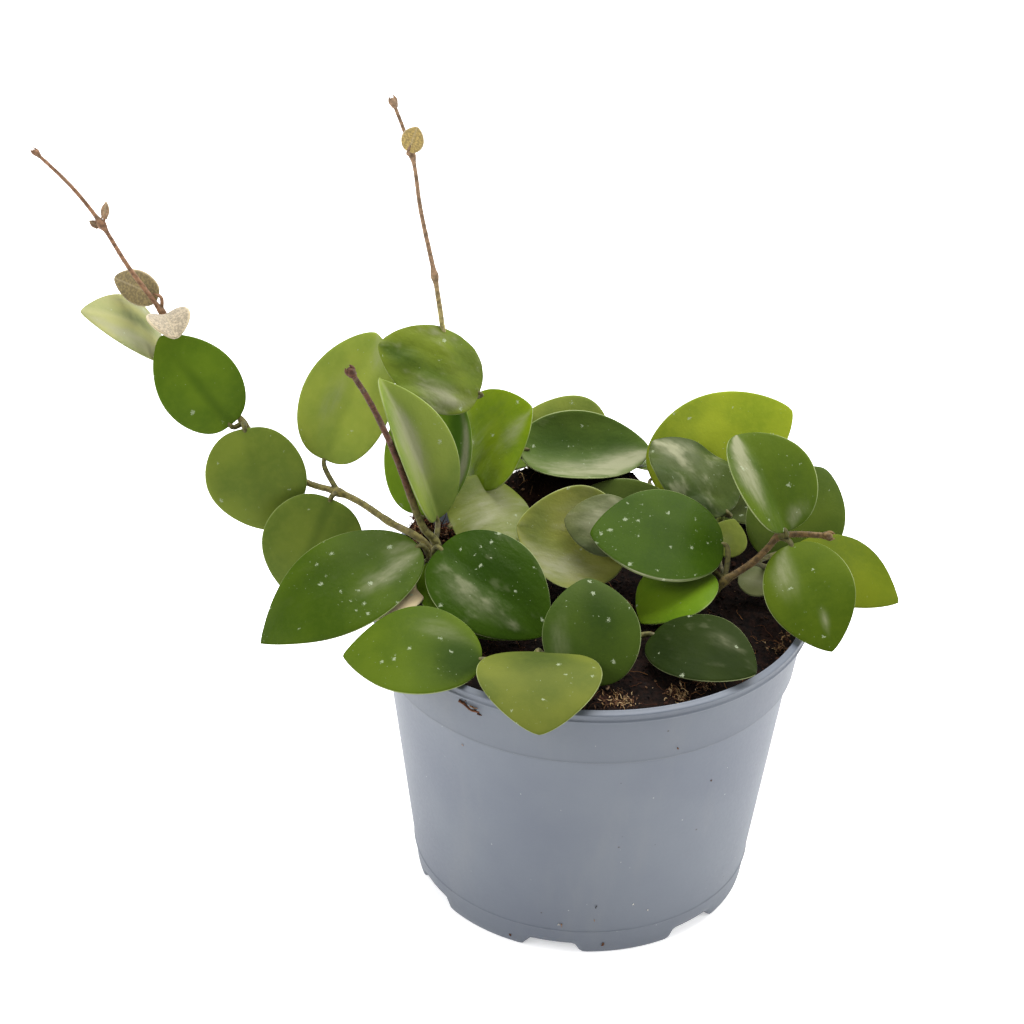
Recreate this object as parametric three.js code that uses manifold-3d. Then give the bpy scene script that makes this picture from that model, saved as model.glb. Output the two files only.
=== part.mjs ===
// A young hoya in a plain nursery pot: trailing leafy stems in a pot of peat and coir.
// Millimetres, +Z up. The origin is on the pot's axis, at the level of the floor that it stands on.
import * as THREE from "three";
import Module from "manifold-3d";

const wasm = await Module();
wasm.setup();
const { Manifold, Mesh } = wasm;

// ---------------------------------------------------------------- driving dimensions
// pot
const POT_HEIGHT = 110;
const RIM_RADIUS = 75;
const RIM_WIDTH = 2.5;
const RIM_BEVEL = 1.2;
const RIM_DEPTH = 4;
const RIM_OVERHANG = 1.8;
const COLLAR_HEIGHT = 22.5;
const COLLAR_RADIUS = 70.6;
const COLLAR_STEP = 1.4;
const BASE_RADIUS = 57.9;
const MOULD_LINE = 10;
const WALL = 1.3;
const FLOOR_TOP = 6.5;
const FLOOR_UNDERSIDE = 4.5;
const FOOT_RING_WIDTH = 6;
const FOOT_NOTCHES = 7;
const FOOT_NOTCH_WIDTH = 18;
const FOOT_NOTCH_HEIGHT = 3.5;
const FOOT_NOTCH_START = -98;
const CENTRE_PAD_RADIUS = 13;
const DRAIN_HOLES = 8;
const DRAIN_RADIUS = 4;
const DRAIN_CIRCLE = 36;
const POT_SIDES = 48;

// soil
const FIT_GAP = 0.35;
const SOIL_EDGE = 103.5;
const SOIL_CROWN = 3;
const SOIL_LUMP = 1.2;
const SOIL_SIDES = 36;
const SOIL_RINGS = [14, 28, 41, 52, 61, 68];
const SOIL_EDGE_BEVEL = 0.3;
const MOUNDS = [
  { x: -60, y: 31, height: 13, spread: 5, depth: 5 },
  { x: -25, y: 56, height: 20, spread: 13, depth: 7 },
  { x: -5, y: 59, height: 12, spread: 8, depth: 5 },
  { x: 11, y: 60, height: 17, spread: 8, depth: 5 },
  { x: 50, y: 46, height: 9, spread: 9, depth: 7 },
];

// leaves
const LEAF_MIDDLE = 2;
const LEAF_EDGE = 0.9;
const LEAF_BASE_HALF = 1.1;
const LEAF_TIP_HALF = 0.5;
const LEAF_GRID = { stations: 7, columns: 4 };
const BABY_LEAF_GRID = { stations: 4, columns: 2 };
const BABY_LEAF_WIDTH = 12;
const THICK_LEAF_WIDTH = 20;
const FULLEST = 0.86;
const PETIOLE_RADIUS = 1.1;
const PETIOLE_SIDES = 4;
const PETIOLE_SINK = 4;
const STEM_SIDES = 6;
const STEM_STEP = 8;
const STEM_DEPTH = 12;
const BUD_LENGTH = 5;
const BUD_SIDES = 6;

// directions that the upper face of a leaf looks in
const VIEWER = [0, -8, 6];
const FRONT = [0, -10, 2];
const UP = [0, 0, 10];
const LEVEL = [0, -4, 9];

// ---------------------------------------------------------------- the plant's layout
// A leaf grows from point number `at` of its stem. Its blade runs from `base` to `tip`.
// arch: how far its middle bows towards its upper face; cup: how far its sides curl up, in degrees;
// fold: how steeply its halves rise from the midrib; wave: height of its edge's waves;
// full: 0 for a lance outline, 1 for a round one.
const leaf = (at, base, tip, width, face, form = {}) => ({ at, base, tip, width, face, ...form });

const STEMS = [
  {
    name: "vine_left",
    colour: 0x6f7a45,
    radius: [1.4, 0.6],
    bud: 0.9,
    points: [
      [-52, 2, 103], [-56, 5, 121], [-70, 12, 126], [-81, 18, 130], [-88, 20, 132], [-100, 23, 134],
      [-112, 26, 142], [-121, 28, 153], [-134, 30, 172], [-148, 32, 192], [-159, 33, 208], [-167, 34, 222],
      [-176, 35, 234], [-187, 36, 245],
    ],
    leaves: [
      leaf(4, [-93, 26, 141], [-77, 45, 181], 32, VIEWER, { arch: 3, fold: 0.15, full: 1 }),
      leaf(4, [-90, 17, 131], [-103, 8, 97], 35, FRONT, { arch: 3, full: 1 }),
      leaf(7, [-125, 26, 153], [-148, 27, 185], 28, VIEWER, { arch: 2, full: 0.9 }),
      leaf(7, [-120, 24, 153], [-111, 20, 116], 35, FRONT, { arch: 3, full: 1 }),
      leaf(8, [-149, 38, 174], [-174, 25, 194], 25, [-4, -4, 8], { arch: 5, full: 0.6 }),
      leaf(9, [-149, 33, 197], [-165, 40, 200], 12, [0, -8, 2], { full: 1 }),
      leaf(11, [-166, 34, 224], [-165, 34, 230], 3, VIEWER),
      leaf(11, [-168, 34, 221], [-171, 34, 223], 2.5, VIEWER),
      leaf(9, [-147, 31, 191], [-141, 18, 189], 17, [-3, 5, 8], { arch: 1, fold: 0.5, full: 1 }),
    ],
  },
  {
    name: "runner_left",
    colour: 0x6d7440,
    radius: [1.3, 0.6],
    bud: 1.3,
    points: [
      [-45, 44, 103], [-47, 44, 120], [-48, 44, 140], [-50, 43, 158], [-54, 42, 185], [-57, 43, 204],
      [-62, 45, 227], [-65, 46, 246], [-71, 47, 263],
    ],
    leaves: [
      leaf(3, [-41, 36, 164], [-75, 32, 183], 30, [1, -6, 7], { arch: 4, full: 1, wave: 1 }),
      leaf(1, [-61, 26, 121], [-54, 40, 169], 30, FRONT, { arch: 2, full: 0.8 }),
      leaf(7, [-66, 44, 248], [-63, 43, 257], 8, VIEWER, { full: 1 }),
    ],
  },
  {
    name: "shoot_left",
    colour: 0x74703f,
    radius: [1.5, 0.9],
    bud: 1.6,
    points: [
      [-47, -1, 103], [-53, 1, 125], [-57, 0, 131], [-61, 0, 142], [-64, -1, 152], [-68, -2, 164],
      [-75, -4, 181], [-80, -6, 191],
    ],
    leaves: [
      leaf(1, [-53, 6, 131], [-73, 13, 180], 30, [7, -6, 4], { arch: 2, fold: 0.6, full: 0.3 }),
    ],
  },
  {
    name: "stem_left_front",
    colour: 0x4f6b2c,
    radius: [1.5, 1.2],
    points: [[-44, -8, 103], [-49, -6, 112], [-54, -5, 122]],
    leaves: [
      leaf(2, [-58, -6, 127], [-108, -34, 104], 37, LEVEL, { arch: 5, full: 0.2 }),
      leaf(1, [-59, -8, 115], [-76, -32, 113], 22, [0, -1, 9], { arch: 2, full: 0.6 }),
      leaf(2, [-51, -8, 128], [-14, -33, 112], 36, [-1, -5, 8], { arch: 4, full: 0.9 }),
      leaf(1, [-55, -5, 121], [-18, -30, 110], 33, [-1, -5, 8], { arch: 4, full: 0.9 }),
    ],
  },
  {
    name: "stem_front_left",
    colour: 0x567a2c,
    radius: [1.4, 1.2],
    points: [[-27, -52, 103], [-29, -52, 109], [-31, -52, 113]],
    leaves: [
      leaf(2, [-34, -53, 114], [-79, -50, 111], 34, LEVEL, { arch: 5, full: 0.4 }),
    ],
  },
  {
    name: "stem_front",
    colour: 0x7f9a3a,
    radius: [1.4, 1.2],
    points: [[-17, -33, 103], [-17, -38, 107], [-16, -42, 111]],
    leaves: [
      leaf(2, [-16, -46, 113], [-14, -85, 108], 40, UP, { arch: 7, full: 0.9 }),
      leaf(2, [3, -55, 107], [-1.5, -28, 131], 32, VIEWER, { arch: 3, full: 1 }),
    ],
  },
  {
    name: "stem_centre",
    colour: 0x6f8a45,
    radius: [1.4, 1.2],
    points: [[22, 16, 103], [19, 15, 112], [17, 14, 116]],
    leaves: [
      leaf(2, [12, 10, 120], [-26, 11, 127], 41, [0, -6, 8], { arch: -4, cup: 35, full: 1 }),
      leaf(2, [16, 11, 126], [-10, 13, 129], 23, [0, -6, 8], { arch: 2, full: 1 }),
    ],
  },
  {
    name: "stem_mid_left",
    colour: 0x6f8a45,
    radius: [1.4, 1.2],
    points: [[-36, 38, 103], [-38, 38, 112], [-40, 37, 118]],
    leaves: [
      leaf(2, [-49, 24, 118], [-23, 36, 120], 33, LEVEL, { arch: 4, full: 1 }),
      leaf(2, [-46, 50, 127], [-23, 45, 155], 38, [-2, -5, 8], { arch: 3, full: 0.8 }),
    ],
  },
  {
    name: "stem_back",
    colour: 0x47702f,
    radius: [1.4, 1.2],
    points: [[-14, 58, 103], [-20, 60, 114], [-24, 61, 124]],
    leaves: [
      leaf(2, [-27, 58, 131], [19, 66, 129], 34, [0, -5, 9], { arch: -4, cup: 55, full: 1 }),
      leaf(2, [2, 76, 120], [-25, 78, 136], 30, VIEWER, { arch: 3, full: 0.6 }),
    ],
  },
  {
    name: "stem_right",
    colour: 0x63703a,
    radius: [1.4, 1],
    bud: 1.4,
    points: [
      [26, -9, 103], [34, -9, 109], [41, -6, 114], [45, -4, 118], [54, -1, 124], [59, 1, 129], [62, 3, 132],
      [68, 5, 132], [78, 5, 132],
    ],
    leaves: [
      leaf(3, [44, 5, 126.5], [-1, 1, 131], 38, [0, -4, 9], { arch: 3, full: 0.8 }),
      leaf(3, [39, 0, 119], [17.5, -16, 107], 34, [-6, -3, 6], { arch: 2, full: 0.6 }),
      leaf(6, [64, 0, 135.5], [47, 26, 157.5], 36, [4, -7, 5], { arch: 2, fold: 0.55, full: 1 }),
      leaf(6, [66, -2, 132], [80, -31, 109], 30, VIEWER, { arch: 3, full: 0.6 }),
      leaf(4, [62, 19, 112.5], [79, 41, 138], 34, [-1, -7, 6], { arch: 2, full: 1 }),
      leaf(4, [67, 12, 120], [104, 0, 110], 28, LEVEL, { arch: 4, full: 0.4 }),
      leaf(3, [44, 12, 118], [48, 22, 127], 14, VIEWER),
      leaf(3, [50, 8, 112], [64, 6, 111], 12, LEVEL),
    ],
  },
  {
    name: "stem_right_back",
    colour: 0x63803a,
    radius: [1.5, 1.2],
    points: [[38, 36, 103], [42, 38, 112], [45, 38, 120]],
    leaves: [
      leaf(2, [46, 28, 126], [19.5, 50, 141], 29, [4, -5, 7], { arch: 3, wave: 2, full: 0.9 }),
      leaf(1, [20, 56, 122], [68, 62, 149], 38, VIEWER, { arch: 3, full: 0.9 }),
      leaf(1, [28, 46, 114], [-9, 48, 115], 22, VIEWER, { arch: 2, full: 1 }),
    ],
  },
  {
    name: "stem_front_right",
    colour: 0x3d5c2c,
    radius: [1.4, 1.2],
    points: [[12, -26, 103], [14, -27, 107], [17, -28, 110]],
    leaves: [
      leaf(2, [21, -29, 111], [54, -54, 114], 28, LEVEL, { arch: 3, full: 0.8 }),
    ],
  },
  {
    name: "stem_back_right",
    colour: 0x4a6f30,
    radius: [1.4, 1.2],
    points: [[30, 56, 103], [34, 60, 110], [37, 64, 115]],
    leaves: [
      leaf(2, [42, 67, 116], [64, 90, 100], 33, [2, 5, 8], { arch: 4, full: 0.7 }),
      leaf(2, [34, 68, 117], [-2, 80, 113], 32, [-1, 4, 9], { arch: 4, full: 0.8 }),
      leaf(1, [42, 55, 112], [73, 46, 113], 24, [1, -1, 9], { arch: 4, full: 0.7 }),
    ],
  },
  {
    name: "stem_back_left",
    colour: 0x4a6f30,
    radius: [1.4, 1.2],
    points: [[-34, 56, 103], [-36, 60, 110], [-38, 64, 114]],
    leaves: [
      leaf(2, [-43, 65, 115], [-66, 82, 104], 29, [-2, 5, 8], { arch: 4, full: 0.7 }),
      leaf(2, [-36, 68, 116], [-22, 102, 104], 33, [0, 5, 8], { arch: 5, full: 0.8 }),
    ],
  },
];

// ---------------------------------------------------------------- geometry helpers
const vec = ([x, y, z]) => new THREE.Vector3(x, y, z);
const radians = THREE.MathUtils.degToRad;

// a repeatable number between -1 and 1 for two whole numbers
function speckle(i, j) {
  const wobble = Math.sin(i * 127.1 + j * 311.7) * 43758.5453;
  return 2 * (wobble - Math.floor(wobble)) - 1;
}

function solid(vertices, triangles) {
  const mesh = new Mesh({
    numProp: 3,
    vertProperties: Float32Array.from(vertices.flat()),
    triVerts: Uint32Array.from(triangles.flat()),
  });
  return new Manifold(mesh);
}

// a three.js geometry as a solid, with its doubled vertices merged
function solidOf(geometry) {
  const { position } = geometry.attributes;
  const index = geometry.index ?? { count: position.count, getX: (i) => i };
  const seen = new Map();
  const vertices = [];
  const lookup = [];
  for (let i = 0; i < position.count; i += 1) {
    const point = [position.getX(i), position.getY(i), position.getZ(i)];
    const key = point.map((value) => value.toFixed(4).replace(/^-(?=0\.0+$)/, "")).join();
    if (!seen.has(key)) {
      seen.set(key, vertices.length);
      vertices.push(point);
    }
    lookup.push(seen.get(key));
  }
  const triangles = [];
  for (let i = 0; i < index.count; i += 3) {
    const corners = [0, 1, 2].map((k) => lookup[index.getX(i + k)]);
    if (new Set(corners).size === 3) triangles.push(corners);
  }
  return solid(vertices, triangles);
}

function geometryOf(manifold) {
  const { vertProperties, triVerts } = manifold.getMesh();
  const geometry = new THREE.BufferGeometry();
  geometry.setAttribute("position", new THREE.BufferAttribute(vertProperties, 3));
  geometry.setIndex(new THREE.BufferAttribute(triVerts, 1));
  return geometry;
}

// a closed round bar along a curve, with a radius that changes along it
function bar(curve, steps, sides, radiusAt) {
  const frames = curve.computeFrenetFrames(steps, false);
  const vertices = [];
  for (let i = 0; i <= steps; i += 1) {
    const centre = curve.getPointAt(i / steps);
    const radius = radiusAt(i / steps);
    for (let k = 0; k < sides; k += 1) {
      const angle = (2 * Math.PI * k) / sides;
      const rim = centre.clone();
      rim.addScaledVector(frames.normals[i], radius * Math.cos(angle));
      rim.addScaledVector(frames.binormals[i], radius * Math.sin(angle));
      vertices.push(rim.toArray());
    }
  }
  const triangles = [];
  for (let i = 0; i < steps; i += 1) {
    for (let k = 0; k < sides; k += 1) {
      const a = i * sides + k;
      const b = i * sides + ((k + 1) % sides);
      triangles.push([a, b, b + sides], [a, b + sides, a + sides]);
    }
  }
  const last = steps * sides;
  for (let k = 1; k < sides - 1; k += 1) {
    triangles.push([0, k + 1, k], [last, last + k, last + k + 1]);
  }
  return solid(vertices, triangles);
}

// ---------------------------------------------------------------- leaves
// half the blade's width at t along it, as a share of its widest
function outline(t, full) {
  return Math.sin(Math.PI * t ** FULLEST) ** (0.55 - 0.12 * full + (0.35 - 0.15 * full) * t);
}

// the blade's middle surface: t from 0 at its base to 1 at its tip, u from -1 to 1 across it
function bladePoint({ base, tip, width, face, arch = 0, cup = 0, fold = 0, wave = 0, full = 0.5 }, t, u) {
  const along = vec(tip).sub(vec(base));
  const length = along.length();
  along.normalize();
  const up = vec(face);
  up.addScaledVector(along, -up.dot(along)).normalize();
  const side = along.clone().cross(up);
  const slope = (4 * arch * (1 - 2 * t)) / length;
  const lean = Math.hypot(1, slope);
  const lift = up.clone().addScaledVector(along, -slope).divideScalar(lean);
  const half = Math.max(
    (width / 2) * outline(t, full),
    t < 0.5 ? LEAF_BASE_HALF : LEAF_TIP_HALF,
  );
  const reach = half * u;
  const bend = radians(cup) / (width / 2);
  const across = bend === 0 ? reach : Math.sin(reach * bend) / bend;
  const curl = bend === 0 ? 0 : (1 - Math.cos(reach * bend)) / bend;
  const rise = fold * (Math.hypot(reach, 2) - 2);
  const ripple = wave * (reach / (width / 2)) ** 2 * Math.sin(9 * t + 2 * u + width);
  return vec(base)
    .addScaledVector(along, length * t)
    .addScaledVector(up, 4 * arch * t * (1 - t))
    .addScaledVector(side, across * Math.sqrt(1 - fold * fold))
    .addScaledVector(lift, curl + rise + ripple);
}

function bladeNormal(blade, t, u) {
  const step = 0.02;
  const ahead = bladePoint(blade, Math.min(t + step, 1 - step), u);
  ahead.sub(bladePoint(blade, Math.max(t - step, step), u));
  const across = bladePoint(blade, t, u + step).sub(bladePoint(blade, t, u - step));
  return across.cross(ahead).normalize();
}

function bladeSolid(blade) {
  const middle = Math.max(LEAF_EDGE, LEAF_MIDDLE * Math.min(1, blade.width / THICK_LEAF_WIDTH));
  const { stations, columns } = blade.width < BABY_LEAF_WIDTH ? BABY_LEAF_GRID : LEAF_GRID;
  const vertices = [];
  for (const face of [1, -1]) {
    for (let i = 0; i <= stations; i += 1) {
      const t = (1 - Math.cos((Math.PI * i) / stations)) / 2;
      for (let k = 0; k <= columns; k += 1) {
        const u = (2 * k) / columns - 1;
        const body = (1 - u * u) * Math.sin(Math.PI * t) ** 0.4;
        const thickness = LEAF_EDGE + (middle - LEAF_EDGE) * body;
        const point = bladePoint(blade, t, u);
        point.addScaledVector(bladeNormal(blade, t, u), (face * thickness) / 2);
        vertices.push(point.toArray());
      }
    }
  }
  const row = columns + 1;
  const under = row * (stations + 1);
  const triangles = [];
  const wall = (a, b) => triangles.push([a, a + under, b + under], [a, b + under, b]);
  for (let i = 0; i < stations; i += 1) {
    for (let k = 0; k < columns; k += 1) {
      const a = i * row + k;
      triangles.push([a, a + 1, a + row + 1], [a, a + row + 1, a + row]);
      triangles.push([a + under, a + row + 1 + under, a + 1 + under]);
      triangles.push([a + under, a + row + under, a + row + 1 + under]);
    }
    wall((i + 1) * row, i * row);
    wall(i * row + columns, (i + 1) * row + columns);
  }
  const top = stations * row;
  for (let k = 0; k < columns; k += 1) {
    wall(k, k + 1);
    wall(top + k + 1, top + k);
  }
  return solid(vertices, triangles);
}

function petioleSolid(blade, from) {
  const base = vec(blade.base);
  const along = vec(blade.tip).sub(base).normalize();
  const inside = base.clone().addScaledVector(along, PETIOLE_SINK);
  const curve = new THREE.CatmullRomCurve3([vec(from), base.clone().addScaledVector(along, -1), inside]);
  const steps = Math.max(3, Math.round(curve.getLength() / STEM_STEP));
  const radius = PETIOLE_RADIUS * Math.min(1, 0.4 + blade.width / 40);
  return bar(curve, steps, PETIOLE_SIDES, () => radius);
}

// ---------------------------------------------------------------- stems
// a bar along the stem, wider than it by `room` all round and at its root
function stemSolid(stem, room = 0) {
  const root = vec(stem.points[0]);
  root.z -= STEM_DEPTH + room;
  const curve = new THREE.CatmullRomCurve3([root, ...stem.points.map(vec)], false, "centripetal");
  const steps = Math.max(4, Math.round((curve.getLength() - room) / STEM_STEP));
  const [thick, slim] = stem.radius;
  return bar(curve, steps, STEM_SIDES, (s) => thick + (slim - thick) * s + room);
}

// the resting bud at the end of a growing stem
function budSolid({ points, bud }) {
  const geometry = new THREE.SphereGeometry(bud, BUD_SIDES, 4).scale(1, BUD_LENGTH / (2 * bud), 1);
  const end = vec(points.at(-1));
  const heading = end.clone().sub(vec(points.at(-2))).normalize();
  geometry.applyQuaternion(new THREE.Quaternion().setFromUnitVectors(new THREE.Vector3(0, 1, 0), heading));
  return solidOf(geometry.translate(end.x, end.y, end.z));
}

function leafyStem(stem) {
  let plant = stemSolid(stem);
  if (stem.bud) plant = plant.add(budSolid(stem));
  for (const blade of stem.leaves) {
    plant = plant.add(petioleSolid(blade, stem.points[blade.at])).add(bladeSolid(blade));
  }
  return plant;
}

// ---------------------------------------------------------------- pot
function outerRadius(z) {
  return BASE_RADIUS + ((COLLAR_RADIUS - COLLAR_STEP - BASE_RADIUS) * z) / (POT_HEIGHT - COLLAR_HEIGHT);
}

function lathe(profile, sides) {
  const points = profile.map(([radius, z]) => new THREE.Vector2(radius, z));
  return solidOf(new THREE.LatheGeometry(points, sides).rotateX(Math.PI / 2));
}

function cylinder(radius, bottom, top, x, y) {
  const geometry = new THREE.CylinderGeometry(radius, radius, top - bottom, 16);
  geometry.rotateX(Math.PI / 2).translate(x, y, (top + bottom) / 2);
  return solidOf(geometry);
}

function potSolid() {
  const collar = POT_HEIGHT - COLLAR_HEIGHT;
  const lipUnder = POT_HEIGHT - RIM_DEPTH;
  const innerFoot = BASE_RADIUS - FOOT_RING_WIDTH;
  const profile = [
    [0, 0], [CENTRE_PAD_RADIUS, 0], [CENTRE_PAD_RADIUS, FLOOR_UNDERSIDE], [innerFoot, FLOOR_UNDERSIDE],
    [innerFoot, 0], [BASE_RADIUS, 0], [outerRadius(MOULD_LINE), MOULD_LINE], [outerRadius(collar), collar],
    [COLLAR_RADIUS, collar + COLLAR_STEP], [RIM_RADIUS - RIM_OVERHANG, lipUnder], [RIM_RADIUS, lipUnder + 1],
    [RIM_RADIUS, POT_HEIGHT - RIM_BEVEL], [RIM_RADIUS - RIM_BEVEL, POT_HEIGHT],
    [RIM_RADIUS - RIM_WIDTH, POT_HEIGHT], [RIM_RADIUS - RIM_WIDTH - 0.4, POT_HEIGHT - 1],
    [COLLAR_RADIUS - WALL, collar + COLLAR_STEP], [outerRadius(collar) - WALL, collar],
    [outerRadius(FLOOR_TOP) - WALL, FLOOR_TOP], [0, FLOOR_TOP],
  ];
  let pot = lathe(profile, POT_SIDES);
  for (let i = 0; i < FOOT_NOTCHES; i += 1) {
    const angle = radians(FOOT_NOTCH_START + (360 * i) / FOOT_NOTCHES);
    const notch = new THREE.BoxGeometry(FOOT_RING_WIDTH * 2, FOOT_NOTCH_WIDTH, FOOT_NOTCH_HEIGHT * 2);
    notch.translate(BASE_RADIUS - FOOT_RING_WIDTH / 2, 0, 0).rotateZ(angle);
    pot = pot.subtract(solidOf(notch));
  }
  for (let i = 0; i < DRAIN_HOLES; i += 1) {
    const angle = radians((360 * (i + 0.5)) / DRAIN_HOLES);
    const x = DRAIN_CIRCLE * Math.cos(angle);
    const y = DRAIN_CIRCLE * Math.sin(angle);
    pot = pot.subtract(cylinder(DRAIN_RADIUS, FLOOR_UNDERSIDE - 2, FLOOR_TOP + 2, x, y));
  }
  return pot;
}

// ---------------------------------------------------------------- soil
function mound(x, y, { x: cx, y: cy, height, spread, depth }) {
  return height * Math.exp(-(((x - cx) / spread) ** 2 + ((y - cy) / depth) ** 2) / 2);
}

function soilHeight(x, y) {
  const middle = 1 - (x * x + y * y) / (SOIL_RINGS.at(-1) ** 2);
  const mounds = MOUNDS.reduce((sum, heap) => sum + mound(x, y, heap), 0);
  return SOIL_EDGE + SOIL_CROWN * Math.max(0, middle) + mounds;
}

function soilSolid() {
  const wallRadius = (z) => outerRadius(Math.min(z, POT_HEIGHT - COLLAR_HEIGHT)) - WALL - FIT_GAP;
  const rings = [...SOIL_RINGS, wallRadius(SOIL_EDGE) - SOIL_EDGE_BEVEL];
  const vertices = [[0, 0, soilHeight(0, 0)]];
  const ring = (radius, heightAt) => {
    for (let k = 0; k < SOIL_SIDES; k += 1) {
      const angle = (2 * Math.PI * k) / SOIL_SIDES;
      const x = radius * Math.cos(angle);
      const y = radius * Math.sin(angle);
      vertices.push([x, y, heightAt(x, y, k)]);
    }
  };
  rings.forEach((radius, i) => ring(radius, (x, y, k) => soilHeight(x, y) + SOIL_LUMP * speckle(i + 1, k)));
  ring(wallRadius(POT_HEIGHT - COLLAR_HEIGHT), () => POT_HEIGHT - COLLAR_HEIGHT - 1);
  ring(wallRadius(FLOOR_TOP + FIT_GAP), () => FLOOR_TOP + FIT_GAP);
  vertices.push([0, 0, FLOOR_TOP + FIT_GAP]);
  const triangles = [];
  const bands = rings.length + 1;
  for (let k = 0; k < SOIL_SIDES; k += 1) {
    const next = (k + 1) % SOIL_SIDES;
    triangles.push([0, 1 + k, 1 + next]);
    for (let i = 0; i < bands; i += 1) {
      const a = 1 + i * SOIL_SIDES;
      triangles.push([a + k, a + SOIL_SIDES + k, a + SOIL_SIDES + next]);
      triangles.push([a + k, a + SOIL_SIDES + next, a + next]);
    }
    const last = 1 + bands * SOIL_SIDES;
    triangles.push([vertices.length - 1, last + next, last + k]);
  }
  return solid(vertices, triangles);
}

// ---------------------------------------------------------------- the assembled part
const group = new THREE.Group();

function place(name, manifold, colour, roughness) {
  const material = new THREE.MeshStandardMaterial({ color: colour, roughness, metalness: 0 });
  const mesh = new THREE.Mesh(geometryOf(manifold), material);
  mesh.name = name;
  group.add(mesh);
}

place("pot", potSolid(), 0x77808f, 0.55);
// each stem stands in a plain hole in the soil
const soil = STEMS.reduce((rest, stem) => rest.subtract(stemSolid(stem, FIT_GAP)), soilSolid());
place("soil", soil, 0x33231a, 0.95);
for (const stem of STEMS) place(stem.name, leafyStem(stem), stem.colour, 0.4);

export default group;
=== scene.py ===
"""A young wax plant in a plain nursery pot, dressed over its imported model.

Lengths are in millimetres until they become mesh points, +Z is up, and the origin is on the pot's
axis at the level of the floor.
"""

import math

import bpy
import numpy as np
from mathutils import Matrix, Vector, noise


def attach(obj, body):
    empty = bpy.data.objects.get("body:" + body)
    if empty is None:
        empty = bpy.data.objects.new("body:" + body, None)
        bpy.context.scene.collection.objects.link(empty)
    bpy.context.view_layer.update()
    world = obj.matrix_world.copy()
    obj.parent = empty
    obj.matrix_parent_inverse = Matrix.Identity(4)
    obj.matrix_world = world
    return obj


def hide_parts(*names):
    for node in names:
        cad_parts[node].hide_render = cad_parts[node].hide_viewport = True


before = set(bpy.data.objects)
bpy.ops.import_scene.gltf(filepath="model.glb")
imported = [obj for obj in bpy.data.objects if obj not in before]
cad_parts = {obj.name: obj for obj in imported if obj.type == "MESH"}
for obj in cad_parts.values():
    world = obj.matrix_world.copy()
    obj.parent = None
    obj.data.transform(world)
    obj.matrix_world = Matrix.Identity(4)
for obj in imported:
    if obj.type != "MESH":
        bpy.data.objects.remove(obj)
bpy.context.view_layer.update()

MM = 0.001

# ---------------------------------------------------------------- sizes shared with the model
POT_HEIGHT = 110
RIM_RADIUS = 75
RIM_WIDTH = 2.5
COLLAR_HEIGHT = 22.5
COLLAR_RADIUS = 70.6
COLLAR_STEP = 1.4
BASE_RADIUS = 57.9
WALL = 1.3
FLOOR_TOP = 6.5
FLOOR_UNDERSIDE = 4.5
FOOT_RING_WIDTH = 6
FOOT_NOTCHES = 7
FOOT_NOTCH_WIDTH = 18
FOOT_NOTCH_HEIGHT = 3.5
FOOT_NOTCH_START = -98
CENTRE_PAD_RADIUS = 13
DRAIN_HOLES = 8
DRAIN_RADIUS = 4
DRAIN_CIRCLE = 36
FIT_GAP = 0.35
SOIL_EDGE = 103.5
SOIL_CROWN = 3
SOIL_SHOULDER = 68
# heaps of soil: x, y, height, and how far each one spreads along x and y
MOUNDS = [
    (-60, 31, 13, 5, 5), (-25, 56, 20, 13, 7), (-5, 59, 12, 8, 5), (11, 60, 17, 8, 5), (50, 46, 9, 9, 7),
]
STEM_DEPTH = 12
# a leaf's thickness in its middle and at its edge, and how wide it is where it is that thick
LEAF_MIDDLE = 2
LEAF_EDGE = 0.9
THICK_LEAF_WIDTH = 20
# under 1 moves the widest part of a leaf towards its base
FULLEST = 0.86

# ---------------------------------------------------------------- sizes of the finer pieces
POT_SIDES = 256
DRAIN_SIDES = 32
# steps along a leaf and around it, for wide leaves and for narrow ones
WIDE_LEAF_GRID = (48, 52)
NARROW_LEAF_GRID = (20, 20)
STEM_SPACING = 0.8
SWELLING_REACH = 1.9
HAIR_LENGTH = 0.55
HAIR_HALF_WIDTH = 0.045
PALE_HAIR = [0.26, 0.19, 0.13, 1]

# the materials of a leafy stem
LEAF, BARK, YOUNG_LEAF, HAIR = range(4)

# directions that the upper face of a leaf looks in
VIEWER = (0, -8, 6)
FRONT = (0, -10, 2)
UP = (0, 0, 10)
LEVEL = (0, -4, 9)


# ---------------------------------------------------------------- colours
def linear(code):
    """A screen colour such as "5c8a2f" as the linear red, green, blue and alpha that Blender wants."""
    shares = [int(code[i:i + 2], 16) / 255 for i in (0, 2, 4)]
    return [s / 12.92 if s <= 0.04045 else ((s + 0.055) / 1.055) ** 2.4 for s in shares] + [1]


def random_colour(codes, rng):
    """One of the given screen colours, picked at random."""
    return linear(codes[int(rng.integers(len(codes)))])


# ---------------------------------------------------------------- gathering a mesh
# the numbers that materials read at each point of a mesh, and how many each one holds
ATTRIBUTES = {"blade": 3, "place": 3, "traits": 3, "skin": 3, "tint": 4}


def grid_faces(rows, columns):
    """Quads between rows of points that each close on themselves."""
    r = np.arange(rows - 1)[:, None]
    c = np.arange(columns)[None, :]
    ahead = (c + 1) % columns
    corners = [r * columns + c, r * columns + ahead, (r + 1) * columns + ahead, (r + 1) * columns + c]
    return np.stack(corners, -1).reshape(-1, 4).tolist()


def closed_grid(rows, columns):
    """Quads between closed rows of points, with a flat cap on the first row and on the last."""
    caps = [list(range(columns))[::-1], list(range((rows - 1) * columns, rows * columns))]
    return grid_faces(rows, columns) + caps


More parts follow.
